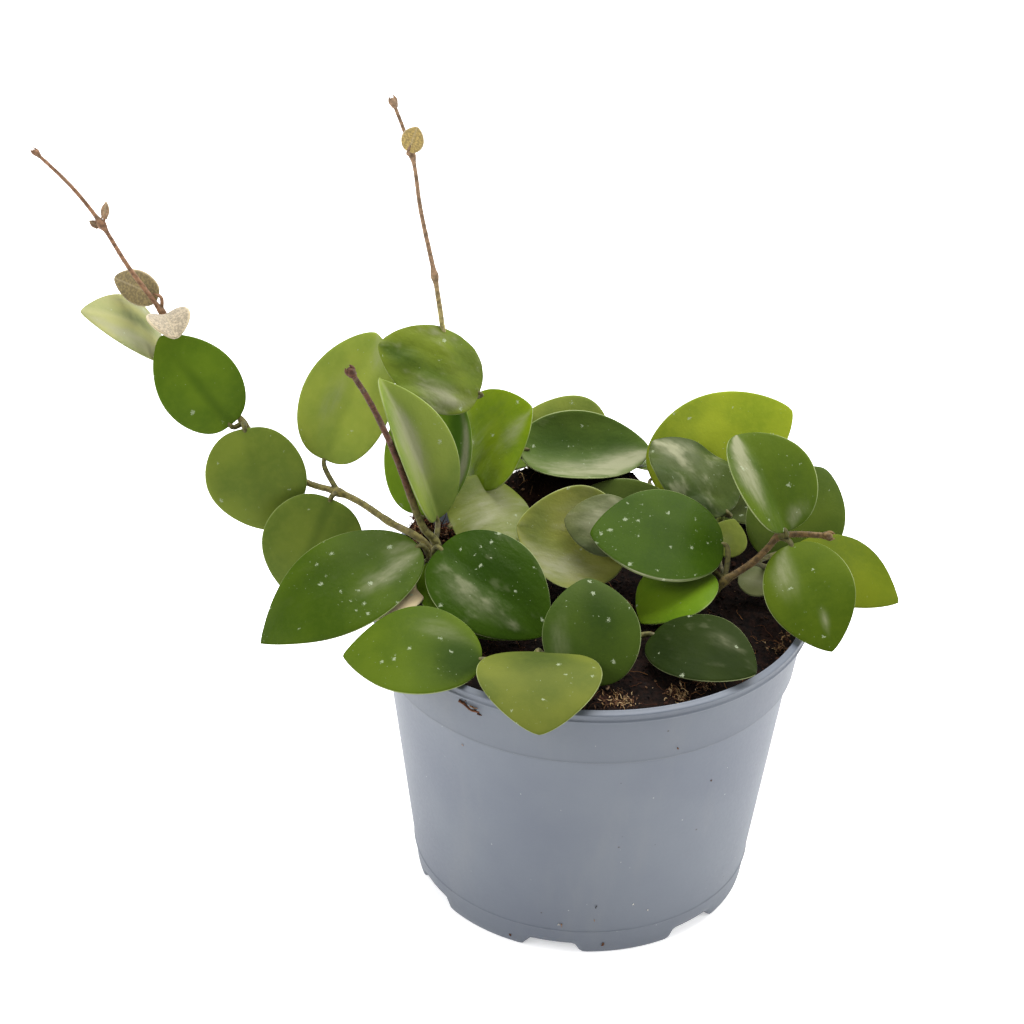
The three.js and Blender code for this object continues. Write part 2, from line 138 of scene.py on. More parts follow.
def turned_faces(rows, columns):
    """Quads between closed rows, and fans to the two centre points that follow them."""
    count, last = rows * columns, (rows - 1) * columns
    faces = grid_faces(rows, columns)
    for k in range(columns):
        following = (k + 1) % columns
        faces.append([count, following, k])
        faces.append([count + 1, last + k, last + following])
    return faces


def circle(radius, height, sides):
    """Points of a circle about the pot's axis, at one height or at a height for each point."""
    angle = 2 * math.pi * np.arange(sides) / sides
    return np.stack([radius * np.cos(angle), radius * np.sin(angle), np.full(sides, height)], 1)


def to_mesh(name, points, faces):
    """A mesh in metres from points in millimetres."""
    mesh = bpy.data.meshes.new(name)
    mesh.from_pydata((np.asarray(points) * MM).tolist(), [], faces)
    return mesh


def place_object(name, data):
    """A new object in the scene that holds the given data."""
    thing = bpy.data.objects.new(name, data)
    bpy.context.scene.collection.objects.link(thing)
    return thing


def signed_volume(points, faces):
    """Six times the volume inside a closed mesh; it is below 0 where the faces look inwards."""
    corners = np.array([(face[0], j, k) for face in faces for j, k in zip(face[1:], face[2:])])
    a, b, c = (points[corners[:, k]] - points.mean(0) for k in range(3))
    return float(np.sum(a * np.cross(b, c)))


class Skin:
    """Parts of one piece, gathered into one mesh with the numbers that its materials read."""

    def __init__(self):
        self.points, self.faces, self.slots = [], [], []
        self.values = {name: [] for name in ATTRIBUTES}
        self.count = 0

    def add(self, points, faces, slot=0, **values):
        """Add a closed part with one of the piece's materials; its faces are turned to look outwards."""
        points = np.asarray(points, float)
        if signed_volume(points, faces) < 0:
            faces = [face[::-1] for face in faces]
        self.points.append(points)
        self.faces += [[i + self.count for i in face] for face in faces]
        self.slots += [slot] * len(faces)
        for name, width in ATTRIBUTES.items():
            value = np.asarray(values.get(name, [0] * width), float)
            self.values[name].append(np.broadcast_to(value, (len(points), width)))
        self.count += len(points)

    def build(self, name, materials, replaces=None):
        """Make the piece, on the root body, and in place of a node of the model if one is named."""
        mesh = to_mesh(name, np.concatenate(self.points), self.faces)
        mesh.polygons.foreach_set("material_index", self.slots)
        mesh.polygons.foreach_set("use_smooth", [True] * len(self.faces))
        for key, width in ATTRIBUTES.items():
            kind, field = ("FLOAT_COLOR", "color") if width == 4 else ("FLOAT_VECTOR", "vector")
            layer = mesh.attributes.new(key, kind, "POINT")
            layer.data.foreach_set(field, np.concatenate(self.values[key]).astype(np.float32).ravel())
        for material in materials:
            mesh.materials.append(material)
        mesh.update()
        piece = place_object(name, mesh)
        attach(piece, "root")
        if replaces:
            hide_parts(replaces)
        return piece


# ---------------------------------------------------------------- curves
def smooth_path(points, spacing):
    """Points at even distances on a smooth curve through the given ones."""
    p = np.asarray(points, float)
    p = np.vstack([2 * p[0] - p[1], p, 2 * p[-1] - p[-2]])
    dense = []
    for i in range(1, len(p) - 2):
        a, b, c, d = p[i - 1:i + 3]
        ab, bc, cd = (max(np.linalg.norm(v) ** 0.5, 1e-4) for v in (b - a, c - b, d - c))
        leave = ((b - a) / ab - (c - a) / (ab + bc) + (c - b) / bc) * bc
        arrive = ((c - b) / bc - (d - b) / (bc + cd) + (d - c) / cd) * bc
        s = np.linspace(0, 1, 30, endpoint=False)[:, None]
        cubic = 2 * b - 2 * c + leave + arrive
        square = -3 * b + 3 * c - 2 * leave - arrive
        dense.append(cubic * s ** 3 + square * s ** 2 + leave * s + b)
    dense = np.vstack(dense + [p[-2][None]])
    reach = np.concatenate([[0], np.cumsum(np.linalg.norm(np.diff(dense, axis=0), axis=1))])
    even = np.linspace(0, reach[-1], max(4, int(reach[-1] / spacing)) + 1)
    return np.stack([np.interp(even, reach, dense[:, k]) for k in range(3)], 1), even


def frames_along(path):
    """Direction, and two square sideways directions that don't twist, at each point of a path."""
    ahead = np.gradient(path, axis=0)
    ahead /= np.linalg.norm(ahead, axis=1, keepdims=True)
    start = np.cross(ahead[0], (0.3, 0.9, 0.1))
    sides = [start / np.linalg.norm(start)]
    for heading in ahead[1:]:
        side = sides[-1] - heading * np.dot(sides[-1], heading)
        sides.append(side / np.linalg.norm(side))
    sides = np.array(sides)
    return ahead, sides, np.cross(ahead, sides)


def sweep(skin, path, radius, sides, slot=0, roughen=0.0, **values):
    """A closed round bar along a path, with a radius at each of its points; roughen: height of its bumps."""
    _, left, over = frames_along(path)
    angle = 2 * math.pi * np.arange(sides) / sides
    radius = np.asarray(radius, float)[:, None, None]
    around = left[:, None] * np.cos(angle)[None, :, None] + over[:, None] * np.sin(angle)[None, :, None]
    points = path[:, None] + around * radius
    if roughen:
        flat = points.reshape(-1, 3)
        bumps = np.array([noise.noise(Vector(point) * 0.8) for point in flat])
        points = (flat + around.reshape(-1, 3) * bumps[:, None] * roughen).reshape(points.shape)
    spread = {}
    for name, value in values.items():
        value = np.asarray(value, float)
        spread[name] = np.repeat(value, sides, axis=0) if value.ndim == 2 else value
    skin.add(points.reshape(-1, 3), closed_grid(len(path), sides), slot, **spread)


def add_hairs(skin, path, radius, per_mm, start, rng):
    """Short hairs that stand out of a stem, from the given share of its length on."""
    ahead, left, over = frames_along(path)
    reach = np.concatenate([[0], np.cumsum(np.linalg.norm(np.diff(path, axis=0), axis=1))])
    count = int(reach[-1] * (1 - start) * per_mm)
    for _ in range(count):
        s = reach[-1] * rng.uniform(start, 1)
        i = min(int(np.searchsorted(reach, s)), len(path) - 1)
        angle = rng.uniform(0, 2 * math.pi)
        out = left[i] * math.cos(angle) + over[i] * math.sin(angle)
        root = path[i] + out * radius[i] * 0.9
        lean = out + ahead[i] * rng.uniform(-0.2, 0.9) + rng.normal(0, 0.15, 3)
        tip = root + lean / np.linalg.norm(lean) * HAIR_LENGTH * rng.uniform(0.5, 1.2)
        across = np.cross(lean, out + (0.1, 0.2, 0.3))
        across *= HAIR_HALF_WIDTH / max(np.linalg.norm(across), 1e-6)
        other = np.cross(lean, across)
        other *= HAIR_HALF_WIDTH / max(np.linalg.norm(other), 1e-6)
        points = [root + across, root - across * 0.5 + other, root - across * 0.5 - other, tip]
        skin.add(points, [[0, 1, 3], [1, 2, 3], [2, 0, 3], [2, 1, 0]], HAIR, tint=PALE_HAIR)


# ---------------------------------------------------------------- leaves
def leaf(at, base, tip, width, face, arch=0.0, cup=0.0, fold=0.0, wave=0.0, full=0.5,
         tint="4c7f2e", bloom=(), shade=(), matt=0.0, crease=0.0, flecks=0.4, rib=0.0, streak=0.0,
         rumple=0.0, young=False):
    """A leaf on point `at` of its stem, with the model's form and its own looks.

    tint: its green; flecks: how many silvery specks; rib: under 0 for a dark midrib, over 0 for a pale
    one; streak: how strongly its skin looks rumpled, in real bumps and in painted sheen on their ridges;
    rumple: the height of real rumples; matt: over 0 for a duller skin; crease: depth of the valley along
    its midrib; bloom and shade: patches of painted sheen, pale colour that stands in for
    reflected light, and of painted shade, darker green that stands in for shade and shadow, each with
    its place t, u, its spread along and across the leaf, and its strength; young: a small fuzzy leaf.
    """
    return dict(at=at, base=base, tip=tip, width=width, face=face, arch=arch, cup=cup, fold=fold,
                wave=wave, full=full, tint=linear(tint), flecks=flecks, rib=rib, streak=streak,
                rumple=rumple, matt=matt, crease=crease, bloom=bloom, shade=shade, young=young)


def outline(t, full):
    """Half the width of a leaf at t, as a share of its half width."""
    body = np.sin(math.pi * np.clip(t, 1e-6, 1 - 1e-6) ** FULLEST)
    return body ** (0.55 - 0.12 * full + (0.35 - 0.15 * full) * t)


def middle_surface(blade, t, u, seed):
    """The leaf's middle surface: t from its base to its tip, u from -1 to 1 across it."""
    base, tip = np.array(blade["base"], float), np.array(blade["tip"], float)
    length = np.linalg.norm(tip - base)
    along = (tip - base) / length
    up = np.array(blade["face"], float)
    up -= along * np.dot(up, along)
    up /= np.linalg.norm(up)
    side = np.cross(along, up)
    arch, fold, width = blade["arch"], blade["fold"], blade["width"]
    slope = 4 * arch * (1 - 2 * t) / length
    lift = (up[None] - slope[:, None] * along[None]) / np.hypot(1, slope)[:, None]
    least = np.where(t < 0.5, 1.1, 0.35)
    half = np.maximum(width / 2 * outline(t, blade["full"]), least)
    reach = half * u
    bend = math.radians(blade["cup"]) / (width / 2)
    across = np.sin(reach * bend) / bend if bend else reach
    curl = (1 - np.cos(reach * bend)) / bend if bend else 0
    rise = fold * (np.hypot(reach, 2) - 2)
    ripple = blade["wave"] * (reach / (width / 2)) ** 2 * np.sin(9 * t + 2 * u + width)
    calm = min(1.0, width / 30)
    swell = np.array([
        0.35 * calm * noise.noise(Vector((x * 0.09, y * 0.06, seed)))
        + blade["rumple"] * noise.noise(Vector((x * 0.2 + y * 0.1, y * 0.11 - x * 0.06, seed + 7.0)))
        for x, y in zip(reach, t * length)
    ])
    swell = swell - blade["crease"] * np.exp(-(reach / 3.5) ** 2) * (1 - 0.5 * t)
    height = curl + rise + ripple + swell * np.sin(math.pi * np.clip(t, 0, 1)) ** 0.5
    points = base + along * (length * t)[:, None] + up * (4 * arch * t * (1 - t))[:, None]
    points = points + side * (across * math.sqrt(1 - fold * fold))[:, None] + lift * height[:, None]
    return points, reach, t * length


def patches(t, u, spots):
    """How strongly the given patches cover each point of a leaf."""
    cover = np.zeros_like(t)
    for at, off, long, wide, power in spots:
        cover += power * np.exp(-((t - at) / long) ** 2 - ((u - off) / wide) ** 2)
    return cover


def add_blade(skin, blade, seed, slot):
    """One thick leaf with a rounded edge."""
    rows, columns = WIDE_LEAF_GRID if blade["width"] > 12 else NARROW_LEAF_GRID
    t_row = (1 - np.cos(math.pi * np.arange(rows + 1) / rows)) / 2
    angle = 2 * math.pi * np.arange(columns) / columns
    t = np.repeat(t_row, columns)
    u = np.tile(-np.cos(angle), rows + 1)
    side = np.tile(np.sign(np.round(np.sin(angle), 6)), rows + 1)
    points, across, along = middle_surface(blade, t, u, seed)
    step, end = 0.01, 0.002
    before, after = np.clip(t - step, end, 1 - end), np.clip(t + step, end, 1 - end)
    ahead = middle_surface(blade, after, u, seed)[0] - middle_surface(blade, before, u, seed)[0]
    over = middle_surface(blade, t, u + step, seed)[0] - middle_surface(blade, t, u - step, seed)[0]
    normal = np.cross(over, ahead)
    normal /= np.linalg.norm(normal, axis=1, keepdims=True)
    middle = max(LEAF_EDGE, LEAF_MIDDLE * min(1, blade["width"] / THICK_LEAF_WIDTH))
    body = (1 - u * u) * np.sin(math.pi * t) ** 0.4
    thickness = LEAF_EDGE * 0.85 + (middle - LEAF_EDGE) * body
    rounding = np.sqrt(np.clip(1 - np.abs(u) ** 36, 0, 1))
    rounding = rounding * np.sqrt(np.clip(1 - np.abs(2 * t - 1) ** 70, 0.04, 1))
    points = points + normal * (side * thickness / 2 * rounding)[:, None]
    # how strongly painted sheen (pale colour standing in for reflected light) and painted shade (darker green
    # standing in for shade) cover each point
    painted_sheen, painted_shade = patches(t, u, blade["bloom"]), patches(t, u, blade["shade"])
    skin.add(
        points, closed_grid(rows + 1, columns), slot,
        blade=np.stack([across, along, side], 1),
        place=np.stack([t, u, np.full_like(t, seed)], 1),
        traits=[blade["flecks"], blade["rib"], blade["streak"]],
        skin=np.stack([painted_sheen, np.full_like(t, blade["matt"]), painted_shade], 1),
        tint=blade["tint"],
    )


def add_petiole(skin, blade, start, colour):
    """The short stalk of a leaf, swollen where it leaves the stem and thinner towards the leaf."""
    base = np.array(blade["base"], float)
    along = np.array(blade["tip"], float) - base
    along /= np.linalg.norm(along)
    path, reach = smooth_path([start, base - along, base + along * 3.4], STEM_SPACING)
    s = reach / reach[-1]
    size = min(1.0, 0.4 + blade["width"] / 40)
    radius = 0.95 * size * (1 + 0.1 * np.exp(-(s / 0.12) ** 2)) * (1 - 0.5 * s ** 4)
    radius[-1] *= 0.35
    sweep(skin, path, radius, 12, BARK, 0.05, tint=colour)


# ---------------------------------------------------------------- stems
def stem(name, radius, points, leaves, bark="6f7c3c", young_bark=None, young_from=1.0, bud=None,
         nodes=None, hair=0.0, petiole="4f4d27"):
    """A stem with its leaves.

    bark and young_bark: its colours; young_from: where along it the young bark starts; bud: the radius of
    the bud at its end; nodes: how much it swells at some of its points; hair: hairs on each millimetre of
    its young bark; petiole: the colour of its leaf stalks.
    """
    return dict(name=name, radius=radius, points=points, leaves=leaves, bark=linear(bark),
                young_bark=linear(young_bark or bark), young_from=young_from, bud=bud,
                nodes=nodes or {}, hair=hair, petiole=linear(petiole))


STEMS = [
    stem("vine_left", (1.4, 0.6), [
        (-52, 2, 103), (-56, 5, 121), (-70, 12, 126), (-81, 18, 130), (-88, 20, 132), (-100, 23, 134),
        (-112, 26, 142), (-121, 28, 153), (-134, 30, 172), (-148, 32, 192), (-159, 33, 208), (-167, 34, 222),
        (-176, 35, 234), (-187, 36, 245),
    ], [
        leaf(4, (-93, 26, 141), (-77, 45, 181), 32, VIEWER, arch=3, fold=0.15, full=1,
             tint="728034", bloom=[(0.45, -0.3, 0.3, 0.3, 0.35), (0.9, 0.5, 0.2, 0.4, 0.5)], flecks=0.25,
             rib=-0.3),
        leaf(4, (-90, 17, 131), (-103, 8, 97), 35, FRONT, arch=3, full=1,
             tint="536126", flecks=0.15, rib=-0.7),
        leaf(7, (-125, 26, 153), (-148, 27, 185), 28, VIEWER, arch=2, full=0.9,
             tint="4b6118", crease=0.3, flecks=0.35, rib=-0.8),
        leaf(7, (-120, 24, 153), (-111, 20, 116), 35, FRONT, arch=3, full=1,
             tint="586627", flecks=0.3, rib=-0.2),
        leaf(8, (-149, 38, 174), (-174, 25, 194), 25, (-4, -4, 8), arch=5, full=0.6,
             tint="84875b", bloom=[(0.5, -0.6, 0.5, 0.3, 0.9), (0.3, 0.7, 0.4, 0.25, 0.8)],
             shade=[(0.45, 0.15, 0.35, 0.3, 0.6)], flecks=0.6, rib=0.3, streak=0.3),
        leaf(9, (-149, 33, 197), (-165, 40, 200), 12, (0, -8, 2), full=1,
             tint="7c6a3a", flecks=0.3, young=True),
        leaf(11, (-166, 34, 224), (-165, 34, 230), 3, VIEWER,
             tint="8a6a48", flecks=0, young=True),
        leaf(11, (-168, 34, 221), (-171, 34, 223), 2.5, VIEWER,
             tint="7a5a40", flecks=0, young=True),
        leaf(9, (-147, 31, 191), (-141, 18, 189), 17, (-3, 5, 8), arch=1, fold=0.5, full=1,
             tint="94866c", flecks=0.2, young=True),
    ], bark="625c30", young_bark="755842", young_from=0.62, bud=0.9, hair=9,
        nodes={2: 1.15, 4: 1.5, 7: 1.4, 8: 1.2, 9: 1.6, 11: 2.2}),
    stem("runner_left", (1.3, 0.6), [
        (-45, 44, 103), (-47, 44, 120), (-48, 44, 140), (-50, 43, 158), (-54, 42, 185), (-57, 43, 204),
        (-62, 45, 227), (-65, 46, 246), (-71, 47, 263),
    ], [
        leaf(3, (-41, 36, 164), (-75, 32, 183), 30, (1, -6, 7), arch=4, full=1, wave=1,
             tint="566422", bloom=[(0.3, -0.6, 0.3, 0.3, 0.8), (0.5, 0.75, 0.3, 0.2, 0.3)],
             shade=[(0.85, -0.1, 0.25, 0.6, 0.7), (0.4, -0.2, 0.3, 0.35, 0.5)], flecks=0.45, streak=0.8,
             rumple=1.1),
        leaf(1, (-61, 26, 121), (-54, 40, 169), 30, FRONT, arch=2, full=0.8,
             tint="698624", bloom=[(0.45, 0.85, 0.4, 0.1, 0.9)], shade=[(0.5, 0.7, 0.6, 0.35, 1.1)],
             flecks=0.25),
        leaf(7, (-66, 44, 248), (-63, 43, 257), 8, VIEWER, full=1,
             tint="a58c46", flecks=0.3, young=True),
    ], bark="928b58", young_bark="7d6650", young_from=0.6, bud=1.3, hair=9,
        nodes={1: 1.2, 3: 1.4, 5: 1.7, 7: 1.9}),
    stem("shoot_left", (1.5, 0.9), [
        (-47, -1, 103), (-53, 1, 125), (-57, 0, 131), (-61, 0, 142), (-64, -1, 152), (-68, -2, 164),
        (-75, -4, 181), (-80, -6, 191),
    ], [
        leaf(1, (-53, 6, 131), (-73, 13, 180), 30, (7, -6, 4), arch=2, fold=0.6, full=0.3,
             tint="6a7a37", bloom=[(0.55, -0.5, 0.4, 0.4, 0.6), (0.6, 0.05, 0.35, 0.3, 0.9)],
             shade=[(0.5, 0.3, 0.5, 0.3, 0.25)], crease=0.5, flecks=0.45, rib=0.5),
    ], bark="5c5a30", young_bark="4a2f20", young_from=0.5, bud=1.6, hair=14, nodes={1: 1.3, 3: 1.1}),
    stem("stem_left_front", (1.5, 1.2), [(-44, -8, 103), (-49, -6, 112), (-54, -5, 122)], [
        leaf(2, (-58, -6, 127), (-108, -34, 104), 37, LEVEL, arch=5, full=0.2,
             tint="34460d", bloom=[(0.22, -0.35, 0.25, 0.25, 0.45), (0.1, 0.1, 0.12, 0.5, 0.35)],
             shade=[(0.5, 0.45, 0.5, 0.4, 0.4)], flecks=0.9, streak=0.3),
        leaf(1, (-59, -8, 115), (-76, -32, 113), 22, (0, -1, 9), arch=2, full=0.6,
             tint="a89c80", bloom=[(0.4, 0, 0.5, 0.8, 0.5)], flecks=0.2),
        leaf(2, (-51, -8, 128), (-14, -33, 112), 36, (-1, -5, 8), arch=4, full=0.9,
             tint="243809", bloom=[(0.45, 0.45, 0.4, 0.28, 0.4)], shade=[(0.5, -0.35, 0.5, 0.45, 0.45)],
             crease=0.9, flecks=0.7, rib=-0.4, streak=0.6),
        leaf(1, (-55, -5, 121), (-18, -30, 110), 33, (-1, -5, 8), arch=4, full=0.9,
             tint="40580f", matt=0.3, flecks=0.3),
    ], bark="75653c"),
    stem("stem_front_left", (1.4, 1.2), [(-27, -52, 103), (-29, -52, 109), (-31, -52, 113)], [
        leaf(2, (-34, -53, 114), (-79, -50, 111), 34, LEVEL, arch=5, full=0.4,
             tint="405112", bloom=[(0.3, 0.5, 0.25, 0.3, 0.35)], shade=[(0.12, -0.2, 0.25, 0.8, 1)],
             matt=0.3, flecks=0.55),
    ]),
    stem("stem_front", (1.4, 1.2), [(-17, -33, 103), (-17, -38, 107), (-16, -42, 111)], [
        leaf(2, (-16, -46, 113), (-14, -85, 108), 40, UP, arch=7, full=0.9,
             tint="535b25", shade=[(0.25, 0, 0.35, 0.7, 0.6)], matt=0.5, flecks=0.55),
        leaf(2, (3, -55, 107), (-1.5, -28, 131), 32, VIEWER, arch=3, full=1,
             tint="324216", bloom=[(0.4, -0.65, 0.35, 0.25, 0.3)], shade=[(0.6, 0.2, 0.45, 0.6, 0.55)],
             flecks=0.4),
    ]),
    stem("stem_centre", (1.4, 1.2), [(22, 16, 103), (19, 15, 112), (17, 14, 116)], [
        leaf(2, (12, 10, 120), (-26, 11, 127), 41, (0, -6, 8), arch=-4, cup=35, full=1,
             tint="6a6f34", bloom=[(0.4, 0.5, 0.4, 0.4, 0.4), (0.6, -0.6, 0.4, 0.35, 0.75)],
             shade=[(0.9, 0, 0.2, 0.8, 0.6)], flecks=0.3, streak=0.5),
        leaf(2, (16, 11, 126), (-10, 13, 129), 23, (0, -6, 8), arch=2, full=1,
             tint="4c5232", bloom=[(0.45, 0.1, 0.5, 0.8, 0.6)], shade=[(0.5, -0.9, 0.5, 0.25, 0.5)],
             flecks=0.2, streak=0.6, rumple=0.5),
    ]),
    stem("stem_mid_left", (1.4, 1.2), [(-36, 38, 103), (-38, 38, 112), (-40, 37, 118)], [
        leaf(2, (-49, 24, 118), (-23, 36, 120), 33, LEVEL, arch=4, full=1,
             tint="59642c", bloom=[(0.5, 0.1, 0.5, 0.8, 0.65)], flecks=0.35, streak=0.6),
        leaf(2, (-46, 50, 127), (-23, 45, 155), 38, (-2, -5, 8), arch=3, full=0.8,
             tint="5a6e0e", bloom=[(0.8, 0.35, 0.25, 0.3, 0.55), (0.4, -0.2, 0.3, 0.12, 0.25)], flecks=0.3,
             streak=0.5, rumple=0.3),
    ]),
    stem("stem_back", (1.4, 1.2), [(-14, 58, 103), (-20, 60, 114), (-24, 61, 124)], [
        leaf(2, (-27, 58, 131), (19, 66, 129), 34, (0, -5, 9), arch=-4, cup=55, full=1,
             tint="3f5121", bloom=[(0.5, 0.6, 0.5, 0.4, 0.8), (0.85, 0.3, 0.2, 0.5, 0.7)],
             shade=[(0.5, -0.3, 0.6, 0.4, 0.5)], flecks=0.35, streak=0.5),
        leaf(2, (2, 76, 120), (-25, 78, 136), 30, VIEWER, arch=3, full=0.6,
             tint="687433", bloom=[(0.2, 0.3, 0.25, 0.5, 0.4)], flecks=0.2),
    ]),
    stem("stem_right", (1.4, 1), [
        (26, -9, 103), (34, -9, 109), (41, -6, 114), (45, -4, 118), (54, -1, 124), (59, 1, 129), (62, 3, 132),
        (68, 5, 132), (78, 5, 132),
    ], [
        leaf(3, (44, 5, 126.5), (-1, 1, 131), 38, (0, -4, 9), arch=3, full=0.8,
             tint="2b4009", bloom=[(0.5, 0, 0.2, 0.15, 0.1), (0.55, -0.97, 0.35, 0.015, 0.9)], flecks=0.95),
        leaf(3, (39, 0, 119), (17.5, -16, 107), 34, (-6, -3, 6), arch=2, full=0.6,
             tint="506914", shade=[(0.1, 0.5, 0.3, 0.6, 0.5)], flecks=0.3),
        leaf(6, (64, 0, 135.5), (47, 26, 157.5), 36, (4, -7, 5), arch=2, fold=0.55, full=1,
             tint="3f5017",
             bloom=[(0.6, -0.5, 0.35, 0.35, 0.85), (0.9, -0.4, 0.15, 0.4, 0.9), (0.12, 0.5, 0.1, 0.3, 0.5)],
             shade=[(0.5, 0, 0.3, 0.2, 0.3)], flecks=0.7, streak=0.3),
        leaf(6, (66, -2, 132), (80, -31, 109), 30, VIEWER, arch=3, full=0.6,
             tint="3e4e0f", bloom=[(0.2, 0.45, 0.3, 0.35, 0.5), (0.75, -0.1, 0.12, 0.15, 0.5)], matt=0.3,
             crease=0.4, flecks=0.6),
        leaf(4, (62, 19, 112.5), (79, 41, 138), 34, (-1, -7, 6), arch=2, full=1,
             tint="3f4e1b", shade=[(0.1, 0, 0.25, 1, 0.4)], flecks=0.3),
        leaf(4, (67, 12, 120), (104, 0, 110), 28, LEVEL, arch=4, full=0.4,
             tint="4f5b0f", bloom=[(0.35, 0.6, 0.2, 0.3, 0.4)], matt=0.5, flecks=0.2),
        leaf(3, (44, 12, 118), (48, 22, 127), 14, VIEWER,
             tint="6b7333", bloom=[(0.4, 0, 0.3, 0.5, 0.3)], flecks=0.2),
        leaf(3, (50, 8, 112), (64, 6, 111), 12.5, LEVEL,
             tint="5a6040", bloom=[(0.5, 0, 0.5, 0.5, 0.5)], flecks=0.1),
    ], bark="4f4a20", young_bark="5f4c2c", young_from=0.5, bud=1.4, hair=12,
        nodes={3: 1.4, 4: 1.1, 6: 1.4}, petiole="4c4a24"),
    stem("stem_right_back", (1.5, 1.2), [(38, 36, 103), (42, 38, 112), (45, 38, 120)], [
        leaf(2, (46, 28, 126), (19.5, 50, 141), 29, (4, -5, 7), arch=3, wave=2, full=0.9,
             tint="333f1c", bloom=[(0.6, 0.1, 0.6, 0.9, 0.18), (0.88, 0.2, 0.25, 0.6, 0.5)],
             shade=[(0.15, -0.6, 0.3, 0.4, 0.6)], flecks=0.2, streak=0.8, rumple=1),
        leaf(1, (20, 56, 122), (68, 62, 149), 38, VIEWER, arch=3, full=0.9,
             tint="758323", flecks=0.5),
        leaf(1, (28, 46, 114), (-9, 48, 115), 22, VIEWER, arch=2, full=1,
             tint="3f4d20", flecks=0.1),
    ]),
    stem("stem_front_right", (1.4, 1.2), [(12, -26, 103), (14, -27, 107), (17, -28, 110)], [
        leaf(2, (21, -29, 111), (54, -54, 114), 28, LEVEL, arch=3, full=0.8,
             tint="1a2609", bloom=[(0.62, -0.4, 0.2, 0.3, 0.28)], matt=0.5, flecks=0.3, streak=0.5),
    ]),
    stem("stem_back_right", (1.4, 1.2), [(30, 56, 103), (34, 60, 110), (37, 64, 115)], [
        leaf(2, (42, 67, 116), (64, 90, 100), 33, (2, 5, 8), arch=4, full=0.7,
             tint="45581a", flecks=0.5),
        leaf(2, (34, 68, 117), (-2, 80, 113), 32, (-1, 4, 9), arch=4, full=0.8,
             tint="3e5016", flecks=0.6),
        leaf(1, (42, 55, 112), (73, 46, 113), 24, (1, -1, 9), arch=4, full=0.7,
             tint="313b12", flecks=0.3),
    ]),
    stem("stem_back_left", (1.4, 1.2), [(-34, 56, 103), (-36, 60, 110), (-38, 64, 114)], [
        leaf(2, (-43, 65, 115), (-66, 82, 104), 29, (-2, 5, 8), arch=4, full=0.7,
             tint="4a5c18", flecks=0.4),
        leaf(2, (-36, 68, 116), (-22, 102, 104), 33, (0, 5, 8), arch=5, full=0.8,
             tint="445618", flecks=0.5),
    ]),
]


def add_bud(skin, plant, heading):
    """A resting bud: a fuzzy egg between two pointed scales."""
    end = np.array(plant["points"][-1], float)
    size = plant["bud"]
    path = np.array([end + heading * d for d in np.linspace(-1.2, 2.3, 9)])
    share = np.linspace(0, 1, 9)
    radius = size * np.sqrt(np.clip(1 - (1.7 * share - 0.75) ** 2, 0.02, 1))
    sweep(skin, path, radius, 14, BARK, 0.25, tint=plant["young_bark"])
    side = np.cross(heading, (0.2, -0.8, 0.5))
    side /= np.linalg.norm(side)
    for turn in (1, -1):
        root = end + side * turn * size * 0.6 - heading * 0.6
        point = end + side * turn * size * 0.55 + heading * 3.1
        scale, reach = smooth_path([root, (root + point) / 2 + side * turn * 0.35, point], 0.35)
        narrow = np.sin(math.pi * np.clip(reach / reach[-1], 0.06, 0.97)) ** 0.7
        sweep(skin, scale, size * 0.42 * narrow, 8, BARK, 0.1, tint=plant["young_bark"])


def make_leafy_stem(plant, index, materials):
    """One stem with its swollen joints, bud, hairs, leaf stalks and leaves."""
    rng = np.random.default_rng(40 + index)
    skin = Skin()
    root = np.array(plant["points"][0], float) - (0, 0, STEM_DEPTH)
    path, reach = smooth_path([root, *plant["points"]], STEM_SPACING)
    s = reach / reach[-1]
    thick, slim = plant["radius"]
    radius = thick + (slim - thick) * s
    for at, swelling in plant["nodes"].items():
        d = np.linalg.norm(path - np.array(plant["points"][at]), axis=1)
        radius = radius * (1 + (swelling - 1) * np.exp(-(d / SWELLING_REACH) ** 2))
    age = np.clip((s - plant["young_from"] + 0.06) / 0.12, 0, 1)[:, None]
    bark = np.array(plant["bark"]) * (1 - age) + np.array(plant["young_bark"]) * age
    sweep(skin, path, radius, 14, BARK, 0.08, tint=bark)
    if plant["bud"]:
        heading = path[-1] - path[-3]
        add_bud(skin, plant, heading / np.linalg.norm(heading))
    if plant["hair"]:
        add_hairs(skin, path, radius, plant["hair"], plant["young_from"] - 0.1, rng)
    for number, blade in enumerate(plant["leaves"]):
        start = np.array(plant["points"][blade["at"]], float)
        add_petiole(skin, blade, start, plant["young_bark" if blade["young"] else "petiole"])
        add_blade(skin, blade, float(index * 10 + number), YOUNG_LEAF if blade["young"] else LEAF)
    skin.build(plant["name"] + "_plant", materials, plant["name"])


# ---------------------------------------------------------------- pot
def outer_radius(z):
    """Radius of the pot's outside below its collar."""
    return BASE_RADIUS + (COLLAR_RADIUS - COLLAR_STEP - BASE_RADIUS) * z / (POT_HEIGHT - COLLAR_HEIGHT)


def foot_height(angle):
    """How high the foot ring's edge is: 0 on a foot, higher in a notch."""
    turn = math.radians(360 / FOOT_NOTCHES)
    away = (angle - math.radians(FOOT_NOTCH_START) + turn / 2) % turn - turn / 2
    distance = abs(away) * BASE_RADIUS - FOOT_NOTCH_WIDTH / 2
    return FOOT_NOTCH_HEIGHT / (1 + np.exp(distance / 0.45))


